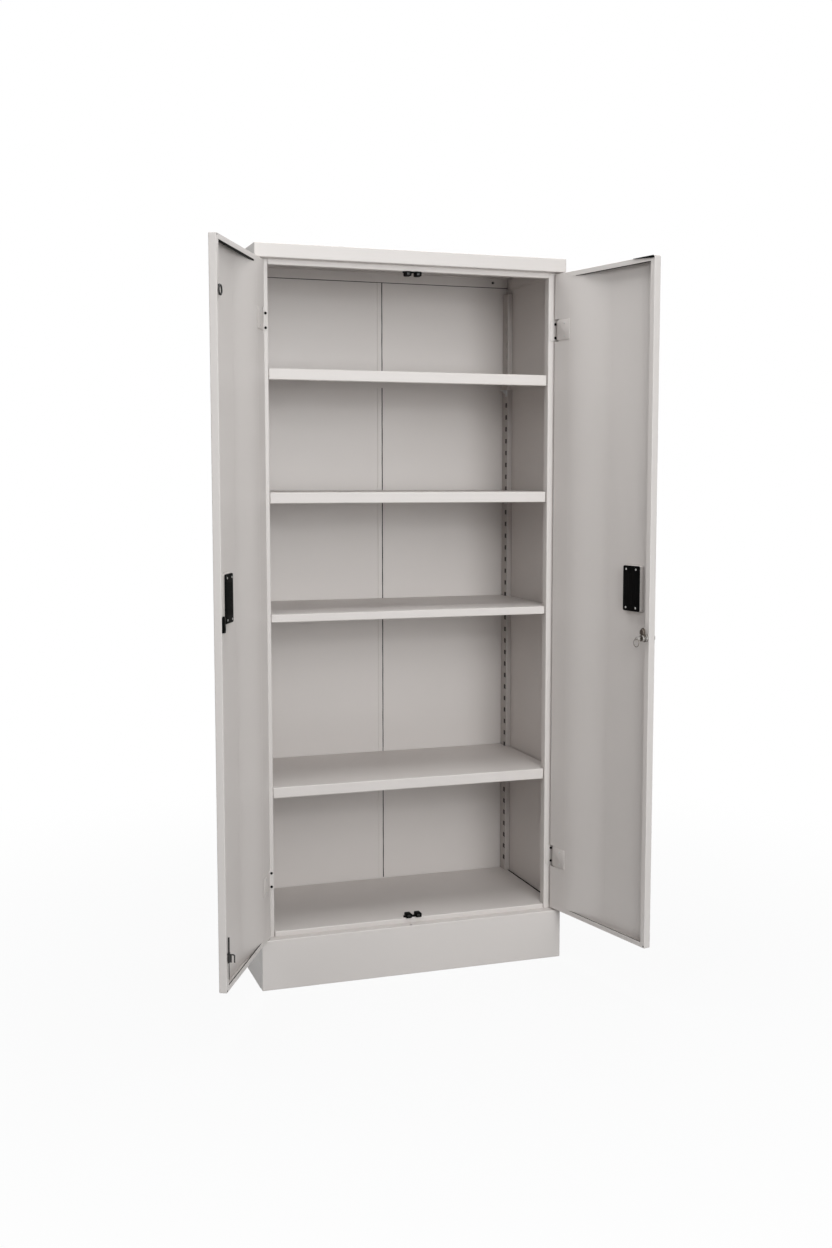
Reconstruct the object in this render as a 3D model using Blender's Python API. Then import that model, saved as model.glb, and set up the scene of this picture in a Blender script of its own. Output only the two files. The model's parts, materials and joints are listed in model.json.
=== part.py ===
"""Two-door sheet-steel storage cabinet, built from folded sheets.

Metres, +Z up. X runs to the right, Y runs into the cabinet from the front plane, and the
floor is Z = 0. Sizes below count Y from the front face; at the end everything moves so that
the origin is on the floor, in the middle of the foot that is folded under the plinth's front.
The doors stand open, as the object is stored.
"""
import math

import bmesh
import bpy
from mathutils import Matrix, Vector

# Outer size of the case and the gauge of its sheets
cabinet_width = 0.800
cabinet_height = 1.816
cabinet_depth = 0.403
steel = 0.0010
bend_radius = 0.0016
bend_segments = 2
fit_gap = 0.0003
overrun = 0.004

# Front: top tray, plinth and the recess that the doors close into
fascia_height = 0.034
plinth_height = 0.127
door_recess = 0.025
lintel_height = 0.013
lintel_return = 0.016
base_lip_height = 0.013
post_width = 0.037
post_return = 0.025
post_hem = 0.012
rear_fold = 0.020
plinth_ledge_depth = 0.047
plinth_foot_depth = 0.022
rail_foot_depth = 0.025
back_rail_height = 0.025
back_rail_hole_radius = 0.0035
back_rail_hole_inset = 0.045

# Back sheets, which lap right of the middle
seam_place = 0.032
seam_lap = 0.011
back_foot_height = 0.030

# Slotted uprights and shelves
slot_pitch = 0.033
slot_height = 0.012
slot_width = 0.005
slot_setback = 0.008
upright_web = 0.038
upright_stand_off = 0.0140
deck_wall_gap = 0.0055
shelf_slot_shares = (0.875, 0.690, 0.500, 0.230)
shelf_front_lips = (0.027, 0.027, 0.020, 0.027)
shelf_side_lip = 0.020
shelf_return = 0.014
shelf_end_gap = 0.002
shelf_front_setback = 0.006
clip_width = 0.015
clip_reach = 0.018
clip_height = 0.018
clip_sheet = 0.0014
clip_hook_clearance = 0.0007
clip_tab_height = 0.0045
clip_hook_drop = 0.0055
clip_hook_sheet = 0.0010

# Doors
door_thickness = 0.018
door_side_gap = 0.003
door_centre_gap = 0.003
door_top_gap = 0.004
door_bottom_gap = 0.005
door_end_lip = 0.012
door_free_lip = 0.015
door_hinge_lip = 0.065
left_open_angle = math.radians(116.5)
right_open_angle = math.radians(102.0)

# Hinges
hinge_inset = 0.013
hinge_axis_depth = 0.009
hinge_height = 0.050
hinge_end_distance = 0.141
knuckle_radius = 0.0040
pin_radius = 0.0020
pin_clearance = 0.0003
knuckle_gap = 0.0005
leaf_sheet = 0.0014
leaf_reach = 0.052
frame_leaf_width = 0.022
frame_leaf_offset = 0.0020
notch_margin = 0.003

# Recessed handles
handle_height = 1.001
handle_free_distance = 0.075
handle_plate_width = 0.062
handle_plate_height = 0.109
handle_bezel_width = 0.074
handle_bezel_height = 0.124
handle_bezel_proud = 0.0015
handle_corner = 0.0036
handle_wall = 0.0020
handle_tub_depth = 0.0150
handle_plate_thickness = 0.0020
handle_grip_reach = 0.012

# Cam lock of the right door
lock_height = 0.888
lock_free_distance = 0.0105
lock_barrel_radius = 0.0080
lock_bezel_radius = 0.0096
lock_bezel_proud = 0.0020
lock_nut_radius = 0.0102
lock_nut_depth = 0.006
lock_barrel_reach = 0.0262
plug_radius = 0.0055
plug_clearance = 0.0003
cam_length = 0.0245
cam_width = 0.016
cam_thickness = 0.0022
cam_running_gap = 0.0006
key_reach = 0.0220
key_width = 0.007
key_thickness = 0.0020
key_eye_radius = 0.0019
ring_radius = 0.0095
ring_wire_radius = 0.0010

# Bolts of the left door, inside the fold along its free edge
bolt_free_distance = 0.0095
bolt_radius = 0.0030
bolt_clearance = 0.0004
bolt_length = 0.130
bolt_tip_setback = 0.0025
bolt_travel = 0.012
bolt_axis_depth = 0.0105
bolt_guide_width = 0.010
bolt_guide_height = 0.010
bolt_guide_distances = (0.030, 0.062)
bolt_guide_wall = 0.0030
bolt_pull_distances = (0.108, 0.086)
bolt_stem_radius = 0.0020
bolt_ring_offset = 0.0040
bolt_ring_radius = 0.0103
bolt_ring_wire = 0.0020
bolt_grip_width = 0.0080
bolt_grip_thickness = 0.0040
bolt_grip_rise = 0.0045
bolt_grip_height = 0.0235
bolt_hoop_start = 0.0050
bolt_hoop_reach = 0.0162
bolt_hoop_height = 0.0195
bolt_hoop_wire = 0.0030
bolt_plane_gap = 0.0012
bolt_slot_margin = 0.0020

# Keeper plate of the left door
keeper_height = 0.950
keeper_length = 0.036
keeper_width = 0.013
keeper_thickness = 0.005
keeper_prong_length = 0.014
keeper_prong_width = 0.0042

# Catches on the frame and the wedge on the right door's top lip
catch_spacing = 0.026
catch_base_length = 0.046
catch_base_depth = 0.012
catch_base_thickness = 0.0020
catch_head_width = 0.0150
catch_head_height = 0.0095
catch_head_wall = 0.0026
catch_head_chamfer = 0.0020
catch_front_setback = 0.003
wedge_start = 0.004
wedge_length = 0.075
wedge_height = 0.0060
wedge_tip_height = 0.0006
wedge_thickness = 0.0020

# Places worked out from the sizes above
half_width = cabinet_width / 2
half_steel = steel / 2
skin_plane = half_width - half_steel
case_top = cabinet_height - fascia_height
lintel_bottom = case_top - lintel_height
floor_height = plinth_height + base_lip_height
opening_half = half_width - post_width
post_back = door_recess + post_return
back_plane = cabinet_depth - steel - fit_gap - half_steel
interior_back = back_plane - half_steel
panel_inner = half_width - steel
upright_plane = panel_inner - upright_stand_off + half_steel
deck_half = panel_inner - deck_wall_gap
upright_front_start = post_back + fit_gap + half_steel
upright_front_end = upright_front_start + upright_web
upright_rear_end = interior_back - steel - fit_gap * 2 - half_steel
upright_rear_start = upright_rear_end - upright_web
hinge_x = half_width - hinge_inset
door_edge = half_width - door_side_gap
door_bottom = plinth_height + door_bottom_gap
door_top = case_top - door_top_gap
door_height = door_top - door_bottom
door_length = door_edge - door_centre_gap / 2
hinge_overhang = door_edge - hinge_x


def clear_scene():
    """Remove every object that the file starts with."""
    for item in list(bpy.data.objects):
        bpy.data.objects.remove(item, do_unlink=True)


def make_material(name, colour, roughness, metallic):
    """Return a Principled material."""
    material = bpy.data.materials.new(name)
    material.use_nodes = True
    shader = material.node_tree.nodes["Principled BSDF"]
    shader.inputs["Base Color"].default_value = (*colour, 1.0)
    shader.inputs["Roughness"].default_value = roughness
    shader.inputs["Metallic"].default_value = metallic
    return material


def place(name, mesh, material, parent=None):
    """Link a mesh as an object, under an optional empty that carries it."""
    item = bpy.data.objects.new(name, mesh)
    bpy.context.scene.collection.objects.link(item)
    if not mesh.materials:
        mesh.materials.append(material)
    if parent is not None:
        item.parent = parent
    return item


def mesh_from_bmesh(name, body):
    """Turn a bmesh into a mesh and free it."""
    mesh = bpy.data.meshes.new(name)
    body.to_mesh(mesh)
    body.free()
    return mesh


def closed_bmesh(body):
    """Merge doubles and point the faces outwards."""
    bmesh.ops.remove_doubles(body, verts=body.verts, dist=steel / 100)
    bmesh.ops.recalc_face_normals(body, faces=body.faces)
    return body


def box_bmesh(low, high):
    """Return a box between two corners."""
    body = bmesh.new()
    size = Vector(high) - Vector(low)
    centre = (Vector(high) + Vector(low)) / 2
    bmesh.ops.create_cube(body, size=1.0, matrix=Matrix.Translation(centre) @ Matrix.Diagonal((*size, 1.0)))
    return body


def prism_bmesh(outline, low, high, axis="Z"):
    """Extrude a flat outline between two levels of one axis.

    The outline's pairs are (x, y) for Z, (y, z) for X and (x, z) for Y.
    """
    order = {"Z": lambda a, b, c: (a, b, c), "X": lambda a, b, c: (c, a, b), "Y": lambda a, b, c: (a, c, b)}[axis]
    body = bmesh.new()
    lower = [body.verts.new(order(a, b, low)) for a, b in outline]
    face = body.faces.new(lower)
    made = bmesh.ops.extrude_face_region(body, geom=[face])
    shift = Vector(order(0.0, 0.0, high - low))
    for item in made["geom"]:
        if isinstance(item, bmesh.types.BMVert):
            item.co += shift
    bmesh.ops.recalc_face_normals(body, faces=body.faces)
    return body


def cylinder_bmesh(start, end, radius, sides=16):
    """Return a closed cylinder between two points."""
    start = Vector(start)
    end = Vector(end)
    run = end - start
    turn = run.to_track_quat("Z", "Y").to_matrix().to_4x4()
    body = bmesh.new()
    bmesh.ops.create_cone(
        body, cap_ends=True, segments=sides, radius1=radius, radius2=radius, depth=run.length,
        matrix=Matrix.Translation((start + end) / 2) @ turn)
    return body


def rounded_outline(width, height, corner, steps=3):
    """Return a rounded rectangle about the origin."""
    points = []
    for quarter in range(4):
        sign_x = (1, -1, -1, 1)[quarter]
        sign_y = (1, 1, -1, -1)[quarter]
        for step in range(steps + 1):
            angle = math.radians(90.0) * (quarter + step / steps)
            points.append((
                sign_x * (width / 2 - corner) + corner * math.cos(angle),
                sign_y * (height / 2 - corner) + corner * math.sin(angle)))
    return points


def shell_object(name, faces, material, parent=None, thickness=steel, radius=bend_radius):
    """Fold a sheet from its middle surface: bends are rounded, then the gauge is given."""
    body = bmesh.new()
    for corners in faces:
        body.faces.new([body.verts.new(corner) for corner in corners])
    closed_bmesh(body)
    item = place(name, mesh_from_bmesh(name, body), material, parent)
    if radius > 0.0:
        bend = item.modifiers.new("bends", "BEVEL")
        bend.width = radius
        bend.segments = bend_segments
        bend.limit_method = "ANGLE"
        bend.angle_limit = math.radians(30.0)
    gauge = item.modifiers.new("gauge", "SOLIDIFY")
    gauge.thickness = thickness
    gauge.offset = 0.0
    gauge.use_even_offset = True
    return item


def folded_outline(path, thickness, radius=bend_radius):
    """Return the closed outline of a sheet folded along a path of its middle line."""
    rounded = [Vector(path[0])]
    for before, corner, after in zip(path, path[1:], path[2:]):
        corner = Vector(corner)
        come = (Vector(before) - corner).normalized()
        leave = (Vector(after) - corner).normalized()
        for step in range(bend_segments + 1):
            share = step / bend_segments
            toward = come * radius * (1 - share) ** 2 + leave * radius * share ** 2
            rounded.append(corner + toward)
    rounded.append(Vector(path[-1]))
    left = []
    right = []
    for index, point in enumerate(rounded):
        ahead = rounded[min(index + 1, len(rounded) - 1)]
        behind = rounded[max(index - 1, 0)]
        into = (point - behind).normalized() if index else (ahead - point).normalized()
        out = (ahead - point).normalized() if index < len(rounded) - 1 else into
        side_in = Vector((-into.y, into.x))
        side_out = Vector((-out.y, out.x))
        mitre = (side_in + side_out).normalized()
        reach = thickness / 2 / max(mitre.dot(side_in), 0.3)
        left.append(point + mitre * reach)
        right.append(point - mitre * reach)
    return [tuple(p) for p in left] + [tuple(p) for p in reversed(right)]


def cutter(name, body, parent=None):
    """Keep a cutting solid beside the model, hidden from renders."""
    item = bpy.data.objects.new(name, mesh_from_bmesh(name, body))
    bpy.context.scene.collection.objects.link(item)
    item.hide_render = True
    item.display_type = "WIRE"
    if parent is not None:
        item.parent = parent
    return item


def combine(item, other, operation):
    """Add a Boolean modifier to an object."""
    step = item.modifiers.new(other.name, "BOOLEAN")
    step.operation = operation
    step.object = other
    step.solver = "EXACT"


def cut(item, name, body, parent=None):
    """Cut a solid out of an object."""
    combine(item, cutter(name, body, parent), "DIFFERENCE")


def weld(item, name, body, parent=None):
    """Join a solid to an object."""
    combine(item, cutter(name, body, parent), "UNION")


def joined_bmesh(bodies):
    """Put several separate closed bodies into one bmesh, for one cutter."""
    whole = bmesh.new()
    for body in bodies:
        mesh = mesh_from_bmesh("part", body)
        whole.from_mesh(mesh)
        bpy.data.meshes.remove(mesh)
    return whole


def settled_mesh(name, item):
    """Return an object's evaluated mesh and remove the object, its cutters kept out."""
    view = bpy.context.evaluated_depsgraph_get()
    view.update()
    mesh = bpy.data.meshes.new_from_object(item.evaluated_get(view))
    mesh.name = name
    helpers = [step.object for step in item.modifiers if step.type == "BOOLEAN"]
    bpy.data.objects.remove(item, do_unlink=True)
    for helper in helpers:
        bpy.data.objects.remove(helper, do_unlink=True)
    return mesh


def skirt_faces(outline, level, drop):
    """Return a flat sheet's outline with a flange turned down along every edge."""
    faces = [[(x, y, level) for x, y in outline]]
    for (ax, ay), (bx, by) in zip(outline, outline[1:] + outline[:1]):
        faces.append([(ax, ay, level), (bx, by, level), (bx, by, level - drop), (ax, ay, level - drop)])
    return faces


# The case


def build_side_panel(side, paint):
    """Wall of the case, folded into a front post and a rear flange."""
    name = "side_panel_right" if side > 0 else "side_panel_left"
    wall = side * skin_plane
    front = door_recess + half_steel
    rear = cabinet_depth - half_steel
    edge = side * (opening_half + half_steel)
    hem = side * (opening_half + post_hem)
    inner = side * (half_width - rear_fold)
    back = post_back - half_steel
    top = case_top - fit_gap
    foot = plinth_height + fit_gap
    faces = [
        [(wall, front, 0.0), (wall, rear, 0.0), (wall, rear, foot), (wall, front, foot)],
        [(wall, front, foot), (wall, rear, foot), (wall, rear, top), (wall, front, top)],
        [(wall, front, foot), (wall, front, top), (edge, front, top), (edge, front, foot)],
        [(edge, front, foot), (edge, front, top), (edge, back, top), (edge, back, foot)],
        [(edge, back, foot), (edge, back, top), (hem, back, top), (hem, back, foot)],
        [(wall, rear, 0.0), (inner, rear, 0.0), (inner, rear, foot), (wall, rear, foot)],
        [(wall, rear, foot), (inner, rear, foot), (inner, rear, top), (wall, rear, top)],
    ]
    return shell_object(name, faces, paint)


def build_top_panel(paint):
    """Tray that caps the case, with the fascia, its ledge and the lintel fold."""
    wall = skin_plane
    front = half_steel
    rear = cabinet_depth - half_steel
    roof = cabinet_height - half_steel
    ledge = case_top + half_steel
    step = door_recess + half_steel
    inner = opening_half - fit_gap
    drop = lintel_bottom + half_steel
    back = step + lintel_return
    faces = [
        [(-wall, front, roof), (wall, front, roof), (wall, rear, roof), (-wall, rear, roof)],
        [(-wall, front, roof), (wall, front, roof), (wall, front, ledge), (-wall, front, ledge)],
        [(-wall, rear, roof), (wall, rear, roof), (wall, rear, ledge), (-wall, rear, ledge)],
        [(-wall, front, ledge), (wall, front, ledge), (wall, step, ledge), (inner, step, ledge),
         (-inner, step, ledge), (-wall, step, ledge)],
        [(-inner, step, ledge), (inner, step, ledge), (inner, step, drop), (-inner, step, drop)],
        [(-inner, step, drop), (inner, step, drop), (inner, back, drop), (-inner, back, drop)],
    ]
    for side in (-1, 1):
        x = side * wall
        faces.append([(x, front, roof), (x, rear, roof), (x, rear, ledge), (x, step, ledge), (x, front, ledge)])
    item = shell_object("top_panel", faces, paint)
    hole = bolt_radius + bolt_clearance * 3
    x, y = closed_bolt_place()
    cut(item, "ledge_bolt_hole", cylinder_bmesh((x, y, case_top - overrun), (x, y, case_top + overrun), hole))
    return item


def build_plinth(paint):
    """Plinth front with its ledge, foot and side returns."""
    wall = skin_plane
    inner = deck_half
    front = half_steel
    edge = door_recess - fit_gap - half_steel
    back = plinth_ledge_depth
    ledge = plinth_height - half_steel
    foot = half_steel
    toe = plinth_foot_depth
    faces = [
        [(-wall, front, ledge), (wall, front, ledge), (wall, front, foot), (-wall, front, foot)],
        [(-wall, front, ledge), (wall, front, ledge), (wall, edge, ledge), (inner, edge, ledge),
         (-inner, edge, ledge), (-wall, edge, ledge)],
        [(-inner, edge, ledge), (inner, edge, ledge), (inner, back, ledge), (-inner, back, ledge)],
        [(-wall, front, foot), (wall, front, foot), (wall, toe, foot), (-wall, toe, foot)],
    ]
    for side in (-1, 1):
        x = side * wall
        faces.append([(x, front, ledge), (x, edge, ledge), (x, edge, foot), (x, toe, foot), (x, front, foot)])
    faces.append([(-inner, back, ledge), (inner, back, ledge),
                  (inner, back, ledge - plinth_foot_depth), (-inner, back, ledge - plinth_foot_depth)])
    item = shell_object("plinth_front", faces, paint)
    hole = bolt_radius + bolt_clearance * 3
    x, y = closed_bolt_place()
    low = (x, y, plinth_height - overrun)
    cut(item, "ledge_bolt_hole_low", cylinder_bmesh(low, (x, y, plinth_height + overrun), hole))
    return item


def build_rear_rail(paint):
    """Rail that closes the plinth at the back and carries the floor pan."""
    inner = panel_inner - fit_gap
    rear = interior_back - steel - fit_gap * 2 - half_steel
    fore = rear - rail_foot_depth
    top = plinth_height - half_steel
    path = [(fore, half_steel), (rear, half_steel), (rear, top), (fore, top)]
    mesh = mesh_from_bmesh("plinth_rear_rail", prism_bmesh(folded_outline(path, steel), -inner, inner, "X"))
    return place("plinth_rear_rail", mesh, paint)


def build_back_panels(paint):
    """Two back sheets, the left one stepped forwards over the right one's edge."""
    reach = panel_inner - fit_gap - bend_radius
    plane = back_plane
    step = steel + fit_gap
    low = back_foot_height
    high = cabinet_height - steel - fit_gap - bend_radius
    lap_start = seam_place - seam_lap
    joggle = step * 1.5
    left_path = [(-reach, plane), (lap_start - joggle, plane), (lap_start, plane - step), (seam_place, plane - step)]
    left = prism_bmesh(folded_outline(left_path, steel, radius=step / 2), low, high, "Z")
    right_path = [(lap_start + joggle, plane), (reach, plane)]
    right = prism_bmesh(folded_outline(right_path, steel), low, high, "Z")
    return [place("back_panel_left", mesh_from_bmesh("back_panel_left", left), paint),
            place("back_panel_right", mesh_from_bmesh("back_panel_right", right), paint)]


def build_back_top_rail(paint):
    """Angle under the top that holds the back sheets' upper edge."""
    inner = panel_inner - fit_gap - bend_radius
    rear = interior_back - steel - fit_gap * 2 - half_steel
    roof = cabinet_height - steel - fit_gap - half_steel
    low = roof - back_rail_height
    path = [(rear - back_rail_height, roof), (rear, roof), (rear, low)]
    item = place("back_top_rail", mesh_from_bmesh(
        "back_top_rail", prism_bmesh(folded_outline(path, steel), -inner, inner, "X")), paint)
    height = (roof + low) / 2
    holes = []
    for x in (-inner + back_rail_hole_inset, 0.0, inner - back_rail_hole_inset):
        holes.append(cylinder_bmesh((x, rear - overrun, height), (x, rear + overrun, height), back_rail_hole_radius, 12))
    cut(item, "back_rail_holes", joined_bmesh(holes))
    return item


def floor_outline():
    """Outline of the floor pan, narrower where it passes between the front posts."""
    front = door_recess + half_steel
    post = post_back + shelf_end_gap
    rear = interior_back - shelf_end_gap - steel
    narrow = opening_half - shelf_end_gap
    return [(-narrow, front), (narrow, front), (narrow, post), (deck_half, post),
            (deck_half, rear), (-deck_half, rear), (-deck_half, post), (-narrow, post)]


def shelf_outline():
    """Outline of a shelf, which clears the front posts and all four uprights."""
    front = door_recess + shelf_front_setback
    post = post_back + shelf_end_gap
    rear = interior_back - shelf_end_gap - steel
    narrow = opening_half - shelf_end_gap
    beside = upright_plane - half_steel - shelf_end_gap
    fore = upright_front_end + half_steel + shelf_end_gap
    aft = upright_rear_start - half_steel - shelf_end_gap
    right = [(narrow, front), (narrow, post), (beside, post), (beside, fore), (deck_half, fore),
             (deck_half, aft), (beside, aft), (beside, rear)]
    return right + [(-x, y) for x, y in reversed(right)]


def build_floor_pan(paint):
    """Floor of the case: a pan whose front flange is the lip that the doors close against."""
    level = floor_height - half_steel
    drop = base_lip_height - half_steel - fit_gap
    return shell_object("floor_pan", skirt_faces(floor_outline(), level, drop), paint)


def build_shelf(index, paint):
    """Shelf tray with a deep front lip, a return under it and flanges on every edge."""
    level = shelf_level(index) - half_steel
    side = shelf_level(index) - shelf_side_lip + half_steel
    bottom = shelf_level(index) - shelf_front_lips[index] + half_steel
    outline = shelf_outline()
    faces = skirt_faces(outline, level, level - side)
    (bx, by), (ax, ay) = outline[0], outline[-1]
    if bottom < side:
        front = [(ax, ay, level), (bx, by, level), (bx, by, side), (bx, by, bottom), (ax, ay, bottom), (ax, ay, side)]
    else:
        bottom = side
        front = [(ax, ay, level), (bx, by, level), (bx, by, side), (ax, ay, side)]
    faces[-1] = front
    back = ay + shelf_return
    inset = steel * 3
    faces.append([(ax, ay, bottom), (bx, by, bottom), (bx - inset, back, bottom), (ax + inset, back, bottom)])
    return shell_object(f"shelf_{index + 1}", faces, paint)


def shelf_level(index):
    """Height of a shelf's upper face, a whole number of slots above the floor."""
    return floor_height + shelf_slot(index) * slot_pitch


def shelf_slot(index):
    """Number of the slot that carries a shelf, from its share of the uprights' slots."""
    return round(slot_count() * shelf_slot_shares[index])


def slot_count():
    """Number of slots that fit in an upright, with a pitch left free at its top."""
    return int((upright_top() - floor_height - slot_pitch) / slot_pitch)


def upright_top():
    """Upper end of the slotted uprights."""
    return lintel_bottom - fit_gap


def slot_level(number):
    """Height of a slot's middle: a clip hooked there carries a shelf a whole pitch up."""
    return floor_height + number * slot_pitch - shelf_side_lip - clip_height / 2


def slot_depth_place(front):
    """Depth of the slot row of a front or rear upright."""
    if front:
        return upright_front_end - slot_setback
    return upright_rear_start + slot_setback


def build_upright(side, front, paint):
    """Slotted upright: a shallow channel that stands on the floor against the wall."""
    name = "upright_{}_{}".format("front" if front else "rear", "right" if side > 0 else "left")
    start = upright_front_start if front else upright_rear_start
    end = upright_front_end if front else upright_rear_end
    wall = side * (panel_inner - fit_gap)
    web = side * upright_plane
    path = [(wall, start), (web, start), (web, end), (wall, end)]
    outline = folded_outline(path, steel)
    low = floor_height + fit_gap
    item = place(name, mesh_from_bmesh(name, prism_bmesh(outline, low, upright_top(), "Z")), paint)
    y = slot_depth_place(front)
    slots = []
    for number in range(2, slot_count() + 1):
        level = slot_level(number)
        slots.append(box_bmesh(
            (web - overrun / 2, y - slot_width / 2, level - slot_height / 2),
            (web + overrun / 2, y + slot_width / 2, level + slot_height / 2)))
    cut(item, name + "_slots", joined_bmesh(slots))
    return item


def clip_mesh():
    """Shelf clip for the right wall: plate on the web, ledge, and a hook through the slot."""
    face = -(half_steel + fit_gap)
    low = -clip_height / 2
    high = clip_height / 2
    back = face - clip_sheet
    end = face - clip_reach
    plate = [(face, low), (face, high), (end, high), (end, high - clip_sheet), (back, high - clip_sheet), (back, low)]
    rib = clip_height / 2
    body = prism_bmesh(plate, -clip_width / 2, clip_width / 2, "Y")
    item = place("clip_seed", mesh_from_bmesh("clip_seed", body), finishes["zinc"])
    gusset = [(back + clip_sheet / 2, low + clip_sheet), (back + clip_sheet / 2, high - clip_sheet / 2),
              (end + clip_sheet, high - clip_sheet / 2), (back - clip_sheet, high - clip_sheet - rib)]
    weld(item, "clip_gusset", prism_bmesh(gusset, -clip_hook_sheet, clip_hook_sheet, "Y"))
    tab_low = fit_gap - slot_height / 2
    tab_high = tab_low + clip_tab_height
    behind = half_steel + clip_hook_clearance
    far = behind + clip_hook_sheet
    tail = tab_low - clip_hook_drop
    hook = [(face - clip_sheet / 2, tab_low), (face - clip_sheet / 2, tab_high),
            (far, tab_high), (far, tail), (behind, tail), (behind, tab_low)]
    half = slot_width / 2 - fit_gap * 2
    weld(item, "clip_hook", prism_bmesh(hook, -half, half, "Y"))
    return settled_mesh("shelf_clip", item)


def build_clips():
    """Four clips a shelf, each hooked into one slot of an upright."""
    mesh = clip_mesh()
    made = []
    for index in range(len(shelf_slot_shares)):
        level = slot_level(shelf_slot(index)) - fit_gap
        for front in (True, False):
            for side in (1, -1):
                name = "shelf_{}_clip_{}_{}".format(
                    index + 1, "front" if front else "rear", "right" if side > 0 else "left")
                item = place(name, mesh, finishes["zinc"])
                item.location = (side * upright_plane, slot_depth_place(front), level)
                item.rotation_euler = (0.0, 0.0, 0.0 if side > 0 else math.pi)
                made.append(item)
    return made


def build_catch(name, level, up, plastic):
    """Double catch: a base strip with two hollow heads that meet the doors' free lips."""
    front = door_recess + steel + catch_front_setback
    back = front + catch_base_depth
    base_far = level + up * catch_base_thickness
    low = min(level, base_far)
    high = max(level, base_far)
    item = place(name, mesh_from_bmesh(name, box_bmesh(
        (-catch_base_length / 2, front, low), (catch_base_length / 2, back, high))), plastic)
    face = door_thickness + fit_gap
    end = back - catch_base_thickness
    half = catch_head_width / 2
    shoulder = half - catch_head_chamfer
    wall = catch_head_wall
    for side in (-1, 1):
        label = f"{name}_head_{'right' if side > 0 else 'left'}"
        centre = side * catch_spacing / 2
        root = level + up * catch_base_thickness / 4
        tip = level + up * (catch_base_thickness + catch_head_height)
        neck = tip - up * catch_head_chamfer
        right = [(half, root), (half, neck), (shoulder, tip)]
        outline = [(centre + x, z) for x, z in right + [(-x, z) for x, z in reversed(right)]]
        weld(item, label, prism_bmesh(outline, face, end, "Y"))
        zs = sorted((base_far, tip - up * wall))
        hollow = box_bmesh((centre - half + wall, face - overrun, zs[0]), (centre + half - wall, end - wall, zs[1]))
        cut(item, f"{label}_hollow", hollow)
    return item


# The doors, modelled closed under an empty on the hinge axis


def door_root(side):
    """Return the empty on a door's hinge axis, turned to the stored opening angle."""
    carrier = bpy.data.objects.new("right_door_axis" if side > 0 else "left_door_axis", None)
    bpy.context.scene.collection.objects.link(carrier)
    carrier.location = (side * hinge_x, hinge_axis_depth, 0.0)
    angle = right_open_angle if side > 0 else left_open_angle
    carrier.rotation_euler = (0.0, 0.0, side * angle)
    return carrier


def local(side, from_free, depth, level=0.0):
    """Point of a closed door in its empty's frame, measured from the free edge and the skin."""
    free_edge = -side * (hinge_x - door_centre_gap / 2)
    return (free_edge + side * from_free, depth - hinge_axis_depth, level)


def closed_bolt_place():
    """Plan position of the left door's bolts when that door is closed."""
    return (-(door_centre_gap / 2 + bolt_free_distance), bolt_axis_depth)


def hinge_levels():
    """Heights of the middle of each hinge."""
    return {"upper": door_top - hinge_end_distance, "lower": door_bottom + hinge_end_distance}


def build_door(side, carrier, paint):
    """Door tray: skin, four flanges and the return lips that stiffen its edge."""
    name = "door_right" if side > 0 else "door_left"
    free = local(side, half_steel, 0.0)[0]
    hinge = local(side, door_length - half_steel, 0.0)[0]
    free_lip = local(side, door_free_lip, 0.0)[0]
    hinge_lip = local(side, door_length - door_hinge_lip, 0.0)[0]
    skin = half_steel - hinge_axis_depth
    lip = door_thickness - half_steel - hinge_axis_depth
    low = door_bottom + half_steel
    high = door_top - half_steel
    low_lip = door_bottom + door_end_lip
    high_lip = door_top - door_end_lip
    faces = [
        [(free, skin, low), (hinge, skin, low), (hinge, skin, high), (free, skin, high)],
        [(free, skin, low), (free, lip, low), (free, lip, high), (free, skin, high)],
        [(hinge, skin, low), (hinge, lip, low), (hinge, lip, high), (hinge, skin, high)],
        [(free, skin, low), (hinge, skin, low), (hinge, lip, low), (free, lip, low)],
        [(free, skin, high), (hinge, skin, high), (hinge, lip, high), (free, lip, high)],
        [(free, lip, low), (free, lip, high), (free_lip, lip, high_lip), (free_lip, lip, low_lip)],
        [(hinge, lip, low), (hinge, lip, high), (hinge_lip, lip, high_lip), (hinge_lip, lip, low_lip)],
        [(free, lip, low), (hinge, lip, low), (hinge_lip, lip, low_lip), (free_lip, lip, low_lip)],
        [(free, lip, high), (hinge, lip, high), (hinge_lip, lip, high_lip), (free_lip, lip, high_lip)],
    ]
    door = shell_object(name, faces, paint, parent=carrier)
    notch_x = knuckle_radius + notch_margin + leaf_sheet
    far = hinge_overhang + overrun
    for label, level in hinge_levels().items():
        half = hinge_height / 2 + notch_margin
        xs = sorted((side * -notch_x, side * far))
        notch = box_bmesh((xs[0], skin + steel, level - half), (xs[1], lip + overrun, level + half))
        cut(door, f"{name}_notch_{label}", notch, carrier)
    centre = local(side, handle_free_distance, 0.0, handle_height)
    hole = rounded_outline(handle_plate_width + fit_gap * 2, handle_plate_height + fit_gap * 2, handle_corner)
    outline = [(centre[0] + a, centre[2] + b) for a, b in hole]
    cut(door, f"{name}_handle_hole", prism_bmesh(outline, skin - overrun, skin + overrun, "Y"), carrier)
    return door


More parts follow.
